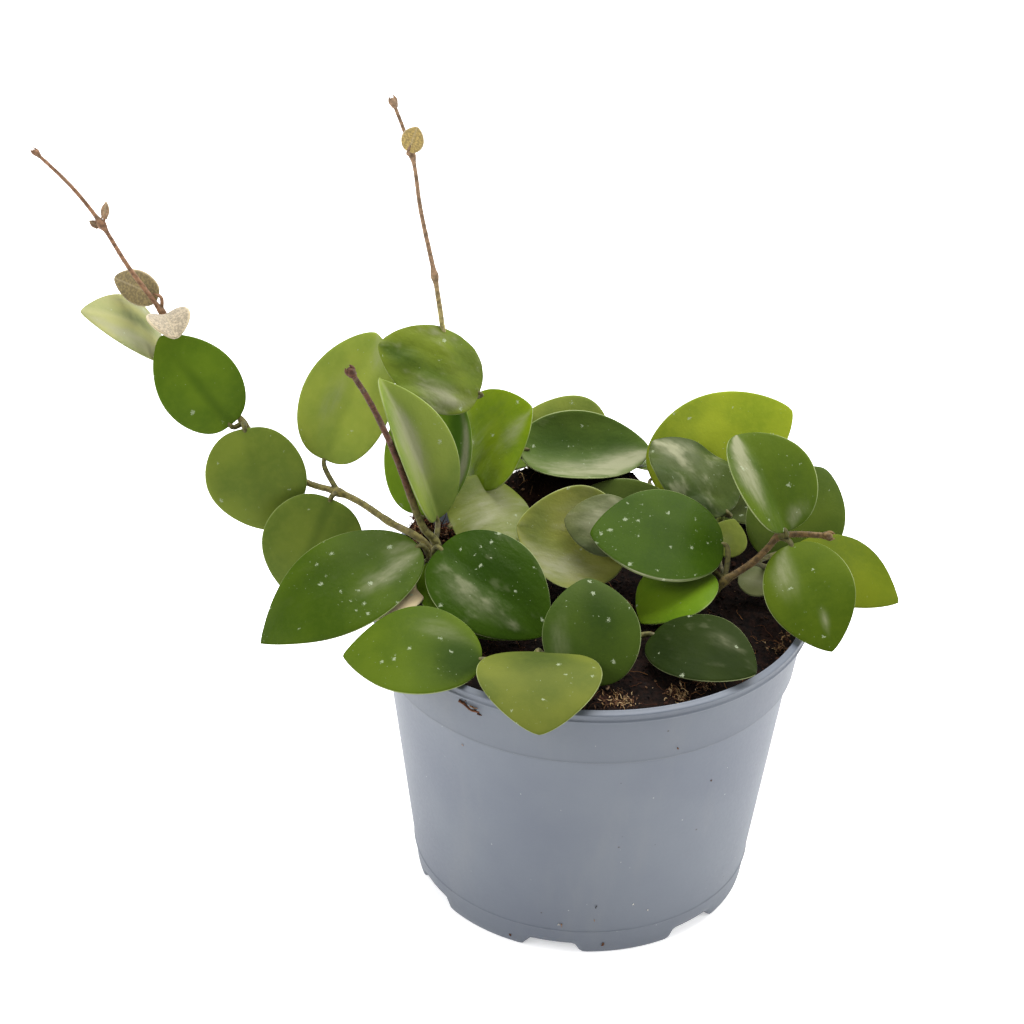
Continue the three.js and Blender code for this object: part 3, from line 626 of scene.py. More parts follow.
# radius and height of the corners of the collar's flare and of the rolled rim with its fine lines
RIM_CORNERS = [
    (71.2, 92), (71.9, 97), (72.55, 101.5), (72.95, 104.6), (73.1, 105.5), (73.4, 105.8), (74.5, 105.95),
    (74.9, 106.1), (RIM_RADIUS, 106.4), (74.9, 106.75), (74.7, 106.95), (74.66, 107.4), (74.66, 108.3),
    (74.76, 108.5), (74.95, 108.75), (74.9, 109.05), (74.65, 109.25), (74.2, 109.45), (73.5, 109.7),
    (73.25, 109.9), (73, POT_HEIGHT), (72.8, POT_HEIGHT - 0.08), (72.62, POT_HEIGHT - 0.35),
]
# height and outward step of the corners of a fine raised mould line near the base
MOULD_LINE = [(9.8, 0.05), (10, 0.28), (10.2, 0.05)]


def pot_profile():
    """Radius and height of each corner of the pot, from its floor's middle outwards, up and back inside.

    The corners of the foot ring also have the share of a notch's height that they take.
    """
    collar = POT_HEIGHT - COLLAR_HEIGHT
    inner_foot = BASE_RADIUS - FOOT_RING_WIDTH
    inner_rim = RIM_RADIUS - RIM_WIDTH
    return [
        (CENTRE_PAD_RADIUS - 0.5, 0), (CENTRE_PAD_RADIUS, 0.5),
        *[(r, FLOOR_UNDERSIDE) for r in np.linspace(CENTRE_PAD_RADIUS + 0.6, inner_foot - 1, 12)],
        (inner_foot, FLOOR_UNDERSIDE - 0.5), (inner_foot + 0.05, 0.6, 1), (inner_foot + 0.6, 0, 1),
        (BASE_RADIUS - 1.2, 0, 1), (BASE_RADIUS - 0.35, 0.2, 1), (BASE_RADIUS, 0.9, 0.95),
        (outer_radius(2.2), 2.2, 0.75), (outer_radius(4.2), 4.2, 0.15),
        *[(outer_radius(z), z) for z in np.linspace(6, 9.4, 3)],
        *[(outer_radius(z) + out, z) for z, out in MOULD_LINE],
        *[(outer_radius(z), z) for z in (*np.linspace(10.7, collar - 1.2, 24), collar - 0.5)],
        (outer_radius(collar) + 0.1, collar - 0.12), (COLLAR_RADIUS - 0.25, collar + 0.05),
        (COLLAR_RADIUS + 0.02, collar + 0.3), (COLLAR_RADIUS + 0.1, collar + 0.75),
        (COLLAR_RADIUS + 0.12, collar + 1.4), *RIM_CORNERS, (inner_rim, POT_HEIGHT - 1),
        (inner_rim - 0.35, POT_HEIGHT - 2.4), (inner_rim - 0.9, 105.4), (71, 101),
        (COLLAR_RADIUS - WALL, collar + COLLAR_STEP), (outer_radius(collar) - WALL, collar),
        *[(outer_radius(z) - WALL, z) for z in np.linspace(collar - 8, FLOOR_TOP + 2, 8)],
        (outer_radius(FLOOR_TOP) - WALL - 1, FLOOR_TOP),
        *[(r, FLOOR_TOP) for r in np.linspace(48, 8, 8)],
    ]


def make_pot(material):
    """The turned pot, with notches in its foot ring and holes in its floor."""
    skin = Skin()
    notches = foot_height(2 * math.pi * np.arange(POT_SIDES) / POT_SIDES)
    rows = [circle(r, z + sum(share) * notches, POT_SIDES) for r, z, *share in pot_profile()]
    points = np.vstack([*rows, [[0, 0, 0], [0, 0, FLOOR_TOP]]])
    skin.add(points, turned_faces(len(rows), POT_SIDES))
    pot = skin.build("pot_shell", [material], "pot")
    drill_drains(pot)


def drill_drains(pot):
    """Round drainage holes through the pot's floor."""
    skin = Skin()
    for i in range(DRAIN_HOLES):
        turn = 2 * math.pi * (i + 0.5) / DRAIN_HOLES
        centre = (DRAIN_CIRCLE * math.cos(turn), DRAIN_CIRCLE * math.sin(turn), 0)
        rings = [circle(DRAIN_RADIUS, z, DRAIN_SIDES) for z in (FLOOR_UNDERSIDE - 2, FLOOR_TOP + 2)]
        skin.add(np.vstack(rings) + centre, closed_grid(2, DRAIN_SIDES))
    plugs = to_mesh("drain plugs", np.concatenate(skin.points), skin.faces)
    cutter = place_object("drain plugs", plugs)
    cut = pot.modifiers.new("drain holes", "BOOLEAN")
    cut.operation, cut.solver, cut.object = "DIFFERENCE", "EXACT", cutter
    bpy.context.view_layer.update()
    drilled = pot.evaluated_get(bpy.context.evaluated_depsgraph_get())
    drilled = bpy.data.meshes.new_from_object(drilled)
    pot.modifiers.clear()
    pot.data = drilled
    bpy.data.objects.remove(cutter)


# ---------------------------------------------------------------- soil
def soil_height(x, y):
    """The soil's surface as the model has it: a low crown with its heaps."""
    middle = 1 - (x * x + y * y) / SOIL_SHOULDER ** 2
    height = SOIL_EDGE + SOIL_CROWN * max(0, middle)
    for cx, cy, rise, spread, depth in MOUNDS:
        height += rise * math.exp(-(((x - cx) / spread) ** 2 + ((y - cy) / depth) ** 2) / 2)
    return height


def crumbled_height(x, y):
    """The soil's surface with its crumbs, hollows and lumps."""
    lumps = 2.2 * noise.noise(Vector((x * 0.1, y * 0.1, 3.1)))
    crumbs = 1.3 * abs(noise.noise(Vector((x * 0.33, y * 0.33, 8.2))))
    grains = 0.8 * abs(noise.noise(Vector((x * 0.8, y * 0.8, 1.7))))
    return soil_height(x, y) + lumps + crumbs + grains - 0.9


def inner_wall(z):
    """Radius of the pot's inside."""
    collar = POT_HEIGHT - COLLAR_HEIGHT
    if z <= collar:
        return outer_radius(z) - WALL
    return COLLAR_RADIUS - WALL + (z - collar) * 0.13


def make_soil(material):
    """The soil, with a crumbled top and plain sides."""
    skin = Skin()
    sides, rings = 260, 84
    edge = inner_wall(SOIL_EDGE) - 0.15
    bottom = FLOOR_TOP + FIT_GAP
    rows = [circle(edge * (i / rings) ** 0.9, 0, sides) for i in range(1, rings + 1)]
    for row in rows:
        row[:, 2] = [crumbled_height(x, y) for x, y, _ in row]
    rows += [circle(outer_radius(86) - WALL - FIT_GAP, 86, sides),
             circle(outer_radius(FLOOR_TOP) - WALL - FIT_GAP, bottom, sides)]
    points = np.vstack([*rows, [[0, 0, crumbled_height(0, 0)], [0, 0, bottom]]])
    skin.add(points, turned_faces(len(rows), sides))
    skin.build("soil_bed", [material], "soil")


DARK_CRUMBS = ["0f0a08", "160e0b", "1d120d", "24150e", "2e1a11", "120c0a", "1a100c"]
LIGHT_CRUMBS = ["3d2418", "4c3222", "5e4632", "86705a", "2e1c13", "40281b", "6e5540"]
SHREDS = ["8f7450", "5c4230", "b39b76", "3e281c", "6b4e37"]
STRANDS = ["4f2f1c", "3a2015", "6e4c2c", "28170f"]
MATTED_COIR = ["5a3422", "7a5038", "3a2118", "9a765a", "28180f"]
CRUMB_COUNT = 3000
STRAND_COUNT = 230
SHREDS_IN_PATCH = 80
# how far from the pot's axis crumbs, strands, shreds and tufts may lie
CRUMB_REACH = 70.2
STRAND_REACH = 66
SHRED_REACH = 68
TUFT_REACH = 69
# where bark and coir lie thick: x, y, spread and share of light crumbs
CHIP_PATCHES = [
    (30, -53, 4.5, 0.9), (12, -58, 4.5, 0.8), (38, -47, 4, 0.4), (65, -22, 5, 0.9), (66, -15, 3, 0.5),
    (7, -60, 6, 0.5), (-24, 58, 10, 0.6), (13, -3, 3, 0.5), (-60, 31, 7, 0.8),
]


def crumb_colour(x, y, rng):
    """Mostly a dark colour, and more often a light one where bark and coir lie thick."""
    light = 0.05 + sum(share * math.exp(-((x - cx) ** 2 + (y - cy) ** 2) / (2 * spread * spread))
                       for cx, cy, spread, share in CHIP_PATCHES)
    return random_colour(LIGHT_CRUMBS if rng.uniform() < light else DARK_CRUMBS, rng)


def add_crumb(skin, centre, size, rng, colour, stretch=(1, 1, 1)):
    """One irregular crumb: a lumpy small ball."""
    rows, columns = 4, 6
    turn = rng.uniform(0, 2 * math.pi)
    tilt = Matrix.Rotation(turn, 3, "Z") @ Matrix.Rotation(rng.uniform(-0.6, 0.6), 3, "X")
    points = []
    for i in range(rows + 1):
        polar = math.pi * (i + 0.02) / (rows + 0.04)
        for k in range(columns):
            angle = 2 * math.pi * (k + 0.5 * (i % 2)) / columns
            reach = size * rng.uniform(0.5, 1.25)
            local = Vector((
                reach * math.sin(polar) * math.cos(angle) * stretch[0],
                reach * math.sin(polar) * math.sin(angle) * stretch[1],
                reach * math.cos(polar) * stretch[2],
            ))
            points.append(np.array(centre) + np.array(tilt @ local))
    skin.add(points, closed_grid(rows + 1, columns), tint=colour)


def add_fibre(skin, start, heading, length, thickness, rng, colour, ground=True):
    """One curved strand or shred; with ground, it follows the soil's surface."""
    points = [np.array(start, float)]
    heading = np.array(heading, float)
    for _ in range(5):
        heading = heading + rng.normal(0, 0.35, 3)
        heading /= np.linalg.norm(heading)
        ahead = points[-1] + heading * length / 5
        if ground and math.hypot(ahead[0], ahead[1]) < SHRED_REACH:
            ahead[2] = crumbled_height(ahead[0], ahead[1]) + rng.uniform(0.2, 1.1)
        points.append(ahead)
    path, reach = smooth_path(points, 0.9)
    radius = thickness * (1 - 0.5 * reach / reach[-1])
    sweep(skin, path, radius, 5, tint=colour)


# bark chips that cling to the pot: start, heading, length, half thickness and colour
POT_CHIPS = [
    ((-40.6, -60.9, 103.2), (7.5, -4.2, -2.6), 8.5, 0.55, "5a3a28"),
    ((-37, -63.2, 102.8), (4, -2, 0.6), 4, 0.3, "86684e"),
    ((-34.5, -64, 100.6), (3, -1.5, -1), 3.5, 0.35, "3d281c"),
    ((-5, -59.7, 13.4), (1.5, 0, -2), 2, 0.25, "8d6f58"),
]
# bits that cling to the pot: place, size, stretch and colour
POT_CRUMBS = [
    ((-35.5, -63.6, 101.4), 0.6, (1.8, 0.4, 0.8), "4d3324"), ((-38.5, -62, 104), 0.4, (1, 0.4, 1), "7a5a44"),
    ((-39.7, -56.3, 83), 0.3, (1, 0.4, 1), "8d6f58"), ((30.2, -65, 91.4), 0.35, (1, 0.4, 1.4), "6b4a35"),
    ((42.6, -52, 70.2), 0.3, (1, 0.4, 1.8), "4d3324"), ((-22.3, -54, 2.9), 0.5, (1.3, 0.5, 1), "5a3d2a"),
    ((36.9, -64.1, 107.5), 0.5, (1.4, 0.4, 1), "9a7466"), ((-6, -59.6, 13.1), 0.35, (1, 0.4, 1), "c9c2b6"),
    ((6.5, -60.7, 22), 0.45, (1, 0.4, 1), "2b2320"), ((18.9, -58, 21.9), 0.3, (1, 0.4, 1), "d9d6cf"),
    ((23.8, -55.6, 17.8), 0.3, (1, 0.4, 1), "d9d6cf"), ((6, -59.9, 15.8), 0.35, (2, 0.4, 0.6), "8d7460"),
    ((9.5, -57.9, 4.1), 0.6, (1.2, 0.5, 1), "5a3d2a"),
    ((57.8, -45.2, 104.7), 0.35, (1.5, 0.4, 0.7), "6b4630"),
    ((21, -71, 108.6), 0.25, (1.5, 0.4, 0.7), "3b342e"),
]


def random_spot(reach, rng):
    """A place on the soil no further than reach from the pot's axis."""
    r = reach * math.sqrt(rng.uniform(0, 1))
    a = rng.uniform(0, 2 * math.pi)
    return r * math.cos(a), r * math.sin(a)


def make_litter(material):
    """Crumbs of peat, bark and coir, coir strands and bark shreds, on the soil and the pot."""
    rng = np.random.default_rng(7)
    skin = Skin()
    for _ in range(CRUMB_COUNT):
        x, y = random_spot(CRUMB_REACH, rng)
        size = 0.2 + 0.7 * rng.uniform(0, 1) ** 3
        colour = crumb_colour(x, y, rng)
        stretch = (rng.uniform(0.8, 1.9), rng.uniform(0.6, 1.1), rng.uniform(0.4, 0.9))
        add_crumb(skin, (x, y, crumbled_height(x, y) + size * 0.15), size, rng, colour, stretch)
    for _ in range(STRAND_COUNT):
        x, y = random_spot(STRAND_REACH, rng)
        start = (x, y, crumbled_height(x, y) + 0.3)
        colour = random_colour(STRANDS, rng)
        heading = (*rng.normal(0, 1, 2), 0.1)
        add_fibre(skin, start, heading, rng.uniform(3, 11), rng.uniform(0.06, 0.14), rng, colour)
    for cx, cy, spread, share in CHIP_PATCHES:
        for _ in range(int(SHREDS_IN_PATCH * share)):
            x, y = cx + rng.normal(0, spread * 0.45), cy + rng.normal(0, spread * 0.45)
            if math.hypot(x, y) > SHRED_REACH:
                continue
            colour = random_colour(SHREDS, rng)
            start = (x, y, crumbled_height(x, y) + 0.2)
            heading = (*rng.normal(0, 1, 2), 0.3)
            add_fibre(skin, start, heading, rng.uniform(0.8, 3.2), rng.uniform(0.08, 0.22), rng, colour)
    for start, heading, length, thickness, code in POT_CHIPS:
        add_fibre(skin, start, heading, length, thickness, rng, linear(code), False)
    for place, size, stretch, code in POT_CRUMBS:
        for _ in range(3):
            spot = np.array(place) + rng.normal(0, size * 0.6, 3) * (1, 0.2, 1)
            add_crumb(skin, spot, size * rng.uniform(0.5, 1), rng, linear(code), stretch)
    skin.build("soil_litter", [material])


# tufts of matted coir: middle, spread, how high it stands, strands
COIR_TUFTS = [(-61.5, 31, 3, 3.2, 300), (-53, 38, 2.2, 4.5, 110)]


def make_coir_clump(material):
    """The tufts of matted coir that stand up at the left of the soil."""
    rng = np.random.default_rng(12)
    skin = Skin()
    for cx, cy, spread, rise, strands in COIR_TUFTS:
        for k in range(strands):
            x, y = cx + rng.normal(0, spread), cy + rng.normal(0, spread)
            if math.hypot(x, y) > TUFT_REACH:
                continue
            ground = crumbled_height(x, y)
            colour = random_colour(MATTED_COIR, rng)
            heading = (*rng.normal(0, 0.8, 2), rng.uniform(-0.1, 0.9))
            start = (x, y, ground + rng.uniform(-0.4, rise))
            add_fibre(skin, start, heading, rng.uniform(3, 7), rng.uniform(0.1, 0.24), rng, colour, False)
            if k % 3 == 0:
                size = rng.uniform(0.5, 1.3)
                add_crumb(skin, (x, y, ground + 0.3), size, rng, crumb_colour(x, y, rng), (1.3, 0.8, 0.7))
    skin.build("coir_clump", [material])


# ---------------------------------------------------------------- shader building
def feed(tree, socket, value):
    """Link a socket to another node's output, or give it a fixed value."""
    if isinstance(value, bpy.types.NodeSocket):
        tree.links.new(value, socket)
    else:
        socket.default_value = value


def add_node(tree, kind, inputs=None, **settings):
    """A new node with its settings and with what its inputs take."""
    node = tree.nodes.new(kind)
    for name, value in settings.items():
        setattr(node, name, value)
    for key, value in (inputs or {}).items():
        feed(tree, node.inputs[key], value)
    return node


def calc(tree, operation, a, b=0.0, c=0.0):
    return add_node(tree, "ShaderNodeMath", {0: a, 1: b, 2: c}, operation=operation).outputs[0]


def times(tree, a, b):
    return calc(tree, "MULTIPLY", a, b)


def plus(tree, a, b):
    return calc(tree, "ADD", a, b)


def ramp(tree, value, low, high, start=0.0, end=1.0):
    """value from low to high becomes a soft step from start to end."""
    node = add_node(tree, "ShaderNodeMapRange", {
        "Value": value, "From Min": low, "From Max": high, "To Min": start, "To Max": end,
    }, interpolation_type="SMOOTHSTEP")
    return node.outputs["Result"]


def blend(tree, share, a, b, kind="MIX"):
    """Colour a, which becomes colour b by the given share."""
    node = add_node(tree, "ShaderNodeMix", {0: share, 6: a, 7: b}, data_type="RGBA", blend_type=kind)
    return node.outputs[2]


def tinted(tree, tint, *strengths):
    """A colour with its red, green and blue each made stronger or weaker."""
    return blend(tree, 1.0, tint, (*strengths, 1), "MULTIPLY")


def cloud(tree, where, scale, detail=2.0, roughness=0.5, stretch=None):
    """Soft noise from 0 to 1."""
    if stretch:
        where = add_node(tree, "ShaderNodeMapping", {"Vector": where, "Scale": stretch}).outputs[0]
    return add_node(tree, "ShaderNodeTexNoise", {
        "Vector": where, "Scale": scale, "Detail": detail, "Roughness": roughness,
    }).outputs["Fac"]


def attribute(tree, name, output="Vector"):
    return add_node(tree, "ShaderNodeAttribute", attribute_name=name).outputs[output]


def parts(tree, vector):
    """The three numbers of a vector."""
    return add_node(tree, "ShaderNodeSeparateXYZ", {0: vector}).outputs


def own_place(tree):
    """Where a point is on its own piece, in metres."""
    return add_node(tree, "ShaderNodeTexCoord").outputs["Object"]


def place_in_mm(tree):
    node = add_node(tree, "ShaderNodeVectorMath", {0: own_place(tree), 3: 1000.0}, operation="SCALE")
    return node.outputs[0]


def new_mask(name, numbers):
    """An empty node group that makes a mask from a place and some numbers.

    Returns the group, what it is given, and the socket that takes its mask.
    """
    group = bpy.data.node_groups.new(name, "ShaderNodeTree")
    group.interface.new_socket(name="Place", in_out="INPUT", socket_type="NodeSocketVector")
    for number in numbers:
        group.interface.new_socket(name=number, in_out="INPUT", socket_type="NodeSocketFloat")
    group.interface.new_socket(name="Mask", in_out="OUTPUT", socket_type="NodeSocketFloat")
    return group, group.nodes.new("NodeGroupInput").outputs, group.nodes.new("NodeGroupOutput").inputs["Mask"]


def use_mask(tree, group, **inputs):
    return add_node(tree, "ShaderNodeGroup", inputs, node_tree=group).outputs["Mask"]


def silver_flecks():
    """Clusters of tiny silvery specks and a few larger broken splashes."""
    group, given, mask = new_mask("silver flecks", ["Amount"])
    where = given["Place"]
    cluster = ramp(group, cloud(group, where, 0.09, 1), 0.42, 0.62, 0.08, 1)
    ragged = add_node(group, "ShaderNodeTexNoise", {"Vector": where, "Scale": 0.9, "Detail": 3})
    bent = add_node(group, "ShaderNodeVectorMath", {0: ragged.outputs["Color"], 1: (1.9, 1.9, 0), 2: where},
                    operation="MULTIPLY_ADD").outputs[0]
    broken = calc(group, "MULTIPLY_ADD", cloud(group, where, 2.6, 3), 0.5, -0.25)
    masks = []
    for scale, small, large, share, wear in ((0.5, 0.02, 0.1, 0.8, 0.3), (0.22, 0.02, 0.2, 0.7, 1.0)):
        cell = add_node(group, "ShaderNodeTexVoronoi", {"Vector": bent, "Scale": scale},
                        voronoi_dimensions="2D")
        pick = add_node(group, "ShaderNodeSeparateColor", {0: cell.outputs["Color"]}).outputs
        size = calc(group, "MULTIPLY_ADD", pick[0], large - small, small)
        inside = calc(group, "SUBTRACT", size, cell.outputs["Distance"])
        dot = ramp(group, calc(group, "MULTIPLY_ADD", broken, wear, inside), 0.0, 0.08)
        chance = times(group, times(group, given["Amount"], share), cluster)
        masks.append(times(group, dot, calc(group, "LESS_THAN", pick[1], chance)))
    feed(group, mask, calc(group, "MAXIMUM", *masks))
    return group


def grit_specks():
    """Sparse small dots, such as dust and grit on plastic."""
    group, given, mask = new_mask("grit specks", ["Scale", "Chance", "Size"])
    cell = add_node(group, "ShaderNodeTexVoronoi", {"Vector": given["Place"], "Scale": given["Scale"]})
    pick = add_node(group, "ShaderNodeSeparateColor", {0: cell.outputs["Color"]}).outputs
    size = times(group, given["Size"], calc(group, "MULTIPLY_ADD", pick[2], 0.8, 0.2))
    dot = ramp(group, calc(group, "SUBTRACT", size, cell.outputs["Distance"]), 0.0, 0.03)
    feed(group, mask, times(group, dot, calc(group, "LESS_THAN", pick[0], given["Chance"])))
    return group


# ---------------------------------------------------------------- materials
def new_material(name, roughness, **sockets):
    """A plain material; returns it with its node tree and its surface."""
    material = bpy.data.materials.new(name)
    material.use_nodes = True
    surface = material.node_tree.nodes["Principled BSDF"]
    surface.inputs["Roughness"].default_value = roughness
    for key, value in sockets.items():
        surface.inputs[key.replace("_", " ")].default_value = value
    return material, material.node_tree, surface


def set_bump(tree, surface, height, strength, distance):
    bump = add_node(tree, "ShaderNodeBump", {"Height": height, "Strength": strength, "Distance": distance})
    feed(tree, surface.inputs["Normal"], bump.outputs[0])


def leaf_place(tree, position, seed):
    """Where a point is on its own leaf, in millimetres, moved away from the other leaves."""
    shift = add_node(tree, "ShaderNodeCombineXYZ", {
        0: times(tree, seed, 37.1), 1: times(tree, seed, 11.7), 2: times(tree, seed, 5.3),
    }).outputs[0]
    return add_node(tree, "ShaderNodeVectorMath", {0: position, 1: shift}, operation="ADD").outputs[0]


def add_midrib(tree, colour, tint, x, t, broad, rib):
    """A broad dark band along the middle of a leaf, or a soft pale one."""
    off = calc(tree, "ABSOLUTE", calc(tree, "MULTIPLY_ADD", calc(tree, "SUBTRACT", broad, 0.5), 2.0, x))
    depth = times(tree, ramp(tree, t, 1.0, 0.5), calc(tree, "MAXIMUM", times(tree, rib, -1.0), 0.0))
    dark = times(tree, ramp(tree, off, 3.2, 0.0), depth)
    colour = blend(tree, times(tree, dark, 0.6), colour, tinted(tree, tint, 0.4, 0.48, 0.5))
    pale = times(tree, ramp(tree, off, 2.2, 0.0), calc(tree, "MAXIMUM", rib, 0.0))
    return blend(tree, times(tree, pale, 0.6), colour, tinted(tree, tint, 1.8, 1.6, 2.0))


def painted_sheen_mask(tree, where, painted_sheen, wrinkles, streak):
    """Where pale sheen is painted: in soft streaks, and on the ridges of a rumpled skin."""
    haze = cloud(tree, where, 0.22, 4, 0.6, (1.6, 0.5, 1))
    ridges = times(tree, ramp(tree, wrinkles, 0.5, 0.72), times(tree, streak, 0.45))
    patchy = times(tree, calc(tree, "SUBTRACT", haze, 0.5), times(tree, painted_sheen, 1.6))
    return ramp(tree, plus(tree, plus(tree, painted_sheen, patchy), ridges), 0.06, 1.0)


def waxy_leaf(flecks):
    """A thick green leaf with its midrib, painted sheen, painted shade, flecks, pale edge and paler
    underside.
    """
    material, tree, surface = new_material(
        "waxy leaf", 0.4, Specular_IOR_Level=0.04, Specular_Tint=(1, 0.95, 0.7, 1))
    blade = attribute(tree, "blade")
    x, _, side = parts(tree, blade)
    t, u, seed = parts(tree, attribute(tree, "place"))
    amount, rib, streak = parts(tree, attribute(tree, "traits"))
    # the skin attribute holds the painted sheen, the dullness and the painted shade of each point
    painted_sheen, matt, painted_shade = parts(tree, attribute(tree, "skin"))
    tint = attribute(tree, "tint", "Color")
    where = leaf_place(tree, blade, seed)
    broad = cloud(tree, where, 0.05, 2)
    fine = cloud(tree, where, 0.5, 4)
    wrinkles = cloud(tree, where, 0.13, 3, 0.5, (1.5, 0.8, 1))
    top, under = ramp(tree, side, 0.2, 0.8), ramp(tree, side, -0.2, -0.8)

    colour = blend(tree, ramp(tree, broad, 0.35, 0.65), tinted(tree, tint, 0.8, 0.84, 0.8),
                   tinted(tree, tint, 1.16, 1.1, 1.0))
    colour = blend(tree, ramp(tree, fine, 0.4, 0.7, 0, 0.22), colour, tinted(tree, tint, 1.35, 1.22, 1.3))
    colour = add_midrib(tree, colour, tint, x, t, broad, rib)
    # painted shade: darker green where shade and shadow fall on the leaf
    painted_shade = ramp(tree, calc(tree, "MULTIPLY_ADD", fine, 0.3, painted_shade), 0.15, 1.1)
    colour = blend(tree, painted_shade, colour, tinted(tree, tint, 0.32, 0.42, 0.5))
    # painted sheen: a warm pale grey on the upper face that stands in for reflected light
    painted_sheen = times(tree, painted_sheen_mask(tree, where, painted_sheen, wrinkles, streak), top)
    colour = blend(tree, times(tree, painted_sheen, 0.8), colour, linear("86866c"))
    fleck = times(tree, use_mask(tree, flecks, Place=where, Amount=amount), top)
    colour = blend(tree, times(tree, fleck, 0.6), colour, (0.31, 0.35, 0.24, 1))
    colour = blend(tree, times(tree, under, 0.5), colour, (0.2, 0.23, 0.1, 1))
    edge = ramp(tree, calc(tree, "ABSOLUTE", u), 0.98, 0.995)
    edge = times(tree, edge, ramp(tree, broad, 0.35, 0.6, 0.2, 0.6))
    colour = blend(tree, edge, colour, (0.34, 0.38, 0.18, 1))
    feed(tree, surface.inputs["Base Color"], colour)

    gloss = calc(tree, "MULTIPLY_ADD", fine, 0.16, 0.25)
    for duller, strength in ((under, 0.2), (fleck, 0.15), (painted_sheen, 0.1), (matt, 0.4)):
        gloss = plus(tree, gloss, times(tree, duller, strength))
    feed(tree, surface.inputs["Roughness"], gloss)
    cells = times(tree, cloud(tree, where, 1.1, 3), 0.14)
    wrinkles = times(tree, wrinkles, calc(tree, "MULTIPLY_ADD", streak, 1.4, 0.25))
    set_bump(tree, surface, plus(tree, cells, wrinkles), 0.8, 0.0006)
    return material


def young_leaf():
    """A small fuzzy leaf with a speckled skin and a pale rib and edge."""
    material, tree, surface = new_material("fuzzy young leaf", 0.7, Sheen_Weight=0.4, Sheen_Roughness=0.5)
    blade = attribute(tree, "blade")
    x = parts(tree, blade)[0]
    _, u, seed = parts(tree, attribute(tree, "place"))
    tint = attribute(tree, "tint", "Color")
    where = leaf_place(tree, blade, seed)
    speckle = ramp(tree, cloud(tree, where, 1.3, 3), 0.42, 0.62)
    colour = blend(tree, speckle, tinted(tree, tint, 0.55, 0.55, 0.5), tint)
    edge = ramp(tree, calc(tree, "ABSOLUTE", u), 0.86, 0.98)
    colour = blend(tree, times(tree, edge, 0.7), colour, (0.42, 0.34, 0.2, 1))
    rib = ramp(tree, calc(tree, "ABSOLUTE", x), 0.5, 0.1)
    colour = blend(tree, times(tree, rib, 0.4), colour, (0.32, 0.26, 0.14, 1))
    feed(tree, surface.inputs["Base Color"], colour)
    set_bump(tree, surface, cloud(tree, where, 2.2, 3), 0.7, 0.0003)
    return material


def bark():
    """The skin of stems and leaf stalks."""
    material, tree, surface = new_material("stem bark", 0.65, Specular_IOR_Level=0.2, Sheen_Weight=0.06)
    place, tint = own_place(tree), attribute(tree, "tint", "Color")
    grain = cloud(tree, place, 700, 4)
    streaks = cloud(tree, place, 260, 3)
    colour = blend(tree, ramp(tree, grain, 0.35, 0.65), tinted(tree, tint, 0.6, 0.58, 0.55),
                   tinted(tree, tint, 1.35, 1.3, 1.25))
    colour = blend(tree, ramp(tree, streaks, 0.55, 0.75, 0, 0.4), colour, (0.2, 0.16, 0.1, 1))
    feed(tree, surface.inputs["Base Color"], colour)
    feed(tree, surface.inputs["Roughness"], calc(tree, "MULTIPLY_ADD", grain, 0.25, 0.45))
    set_bump(tree, surface, grain, 0.6, 0.0003)
    return material


def hair():
    """The short pale hairs of young stems."""
    material, tree, surface = new_material("stem hair", 0.6)
    tint = attribute(tree, "tint", "Color")
    shade = ramp(tree, cloud(tree, own_place(tree), 300, 1), 0.3, 0.7)
    feed(tree, surface.inputs["Base Color"], blend(tree, shade, tinted(tree, tint, 0.6, 0.55, 0.5), tint))
    return material


def nursery_plastic(specks):
    """The pot's satin plastic, with smears, dust, grit, and painted shade: a darker collar and a dark shadow
    line at its step.
    """
    material, tree, surface = new_material("grey-blue moulded plastic", 0.5, Specular_IOR_Level=0.4)
    place = place_in_mm(tree)
    broad = cloud(tree, place, 0.02, 3)
    smear = cloud(tree, place, 0.06, 4, 0.6, (1, 1, 0.25))
    colour = blend(tree, ramp(tree, broad, 0.3, 0.7), linear("585e69"), linear("60666f"))
    colour = blend(tree, ramp(tree, smear, 0.5, 0.75, 0, 0.3), colour, linear("6b6e72"))
    for scale, size, strength, code in ((0.3, 0.09, 0.45, "b9b7b0"), (0.16, 0.08, 0.8, "3b342e")):
        dots = use_mask(tree, specks, Place=place, Scale=scale, Chance=0.35, Size=size)
        colour = blend(tree, times(tree, dots, strength), colour, linear(code))
    # painted shade: the collar a little darker, and a painted shadow line along its lower edge at the step
    height, step = parts(tree, place)[2], POT_HEIGHT - COLLAR_HEIGHT
    collar = ramp(tree, height, step - 0.3, step + 0.2)
    step_shadow = times(tree, collar, ramp(tree, height, step + 1.6, step))
    collar_shade = calc(tree, "MULTIPLY_ADD", step_shadow, 0.3, times(tree, collar, 0.16))
    feed(tree, surface.inputs["Base Color"], blend(tree, collar_shade, colour, linear("33383e")))
    satin = cloud(tree, place, 0.8, 3)
    feed(tree, surface.inputs["Roughness"], calc(tree, "MULTIPLY_ADD", satin, 0.15, 0.42))
    set_bump(tree, surface, satin, 0.12, 0.0003)
    return material


def damp_peat():
    """Near-black crumbled soil."""
    material, tree, surface = new_material("damp peat", 1.0, Specular_IOR_Level=0.1)
    place = place_in_mm(tree)
    crumbs = cloud(tree, place, 0.5, 5, 0.65)
    patchy = cloud(tree, place, 0.09, 3)
    colour = blend(tree, ramp(tree, crumbs, 0.35, 0.7), linear("0a0706"), linear("1e120d"))
    colour = blend(tree, ramp(tree, patchy, 0.55, 0.75, 0, 0.5), colour, linear("2a170f"))
    feed(tree, surface.inputs["Base Color"], colour)
    set_bump(tree, surface, crumbs, 1.0, 0.0012)
    return material


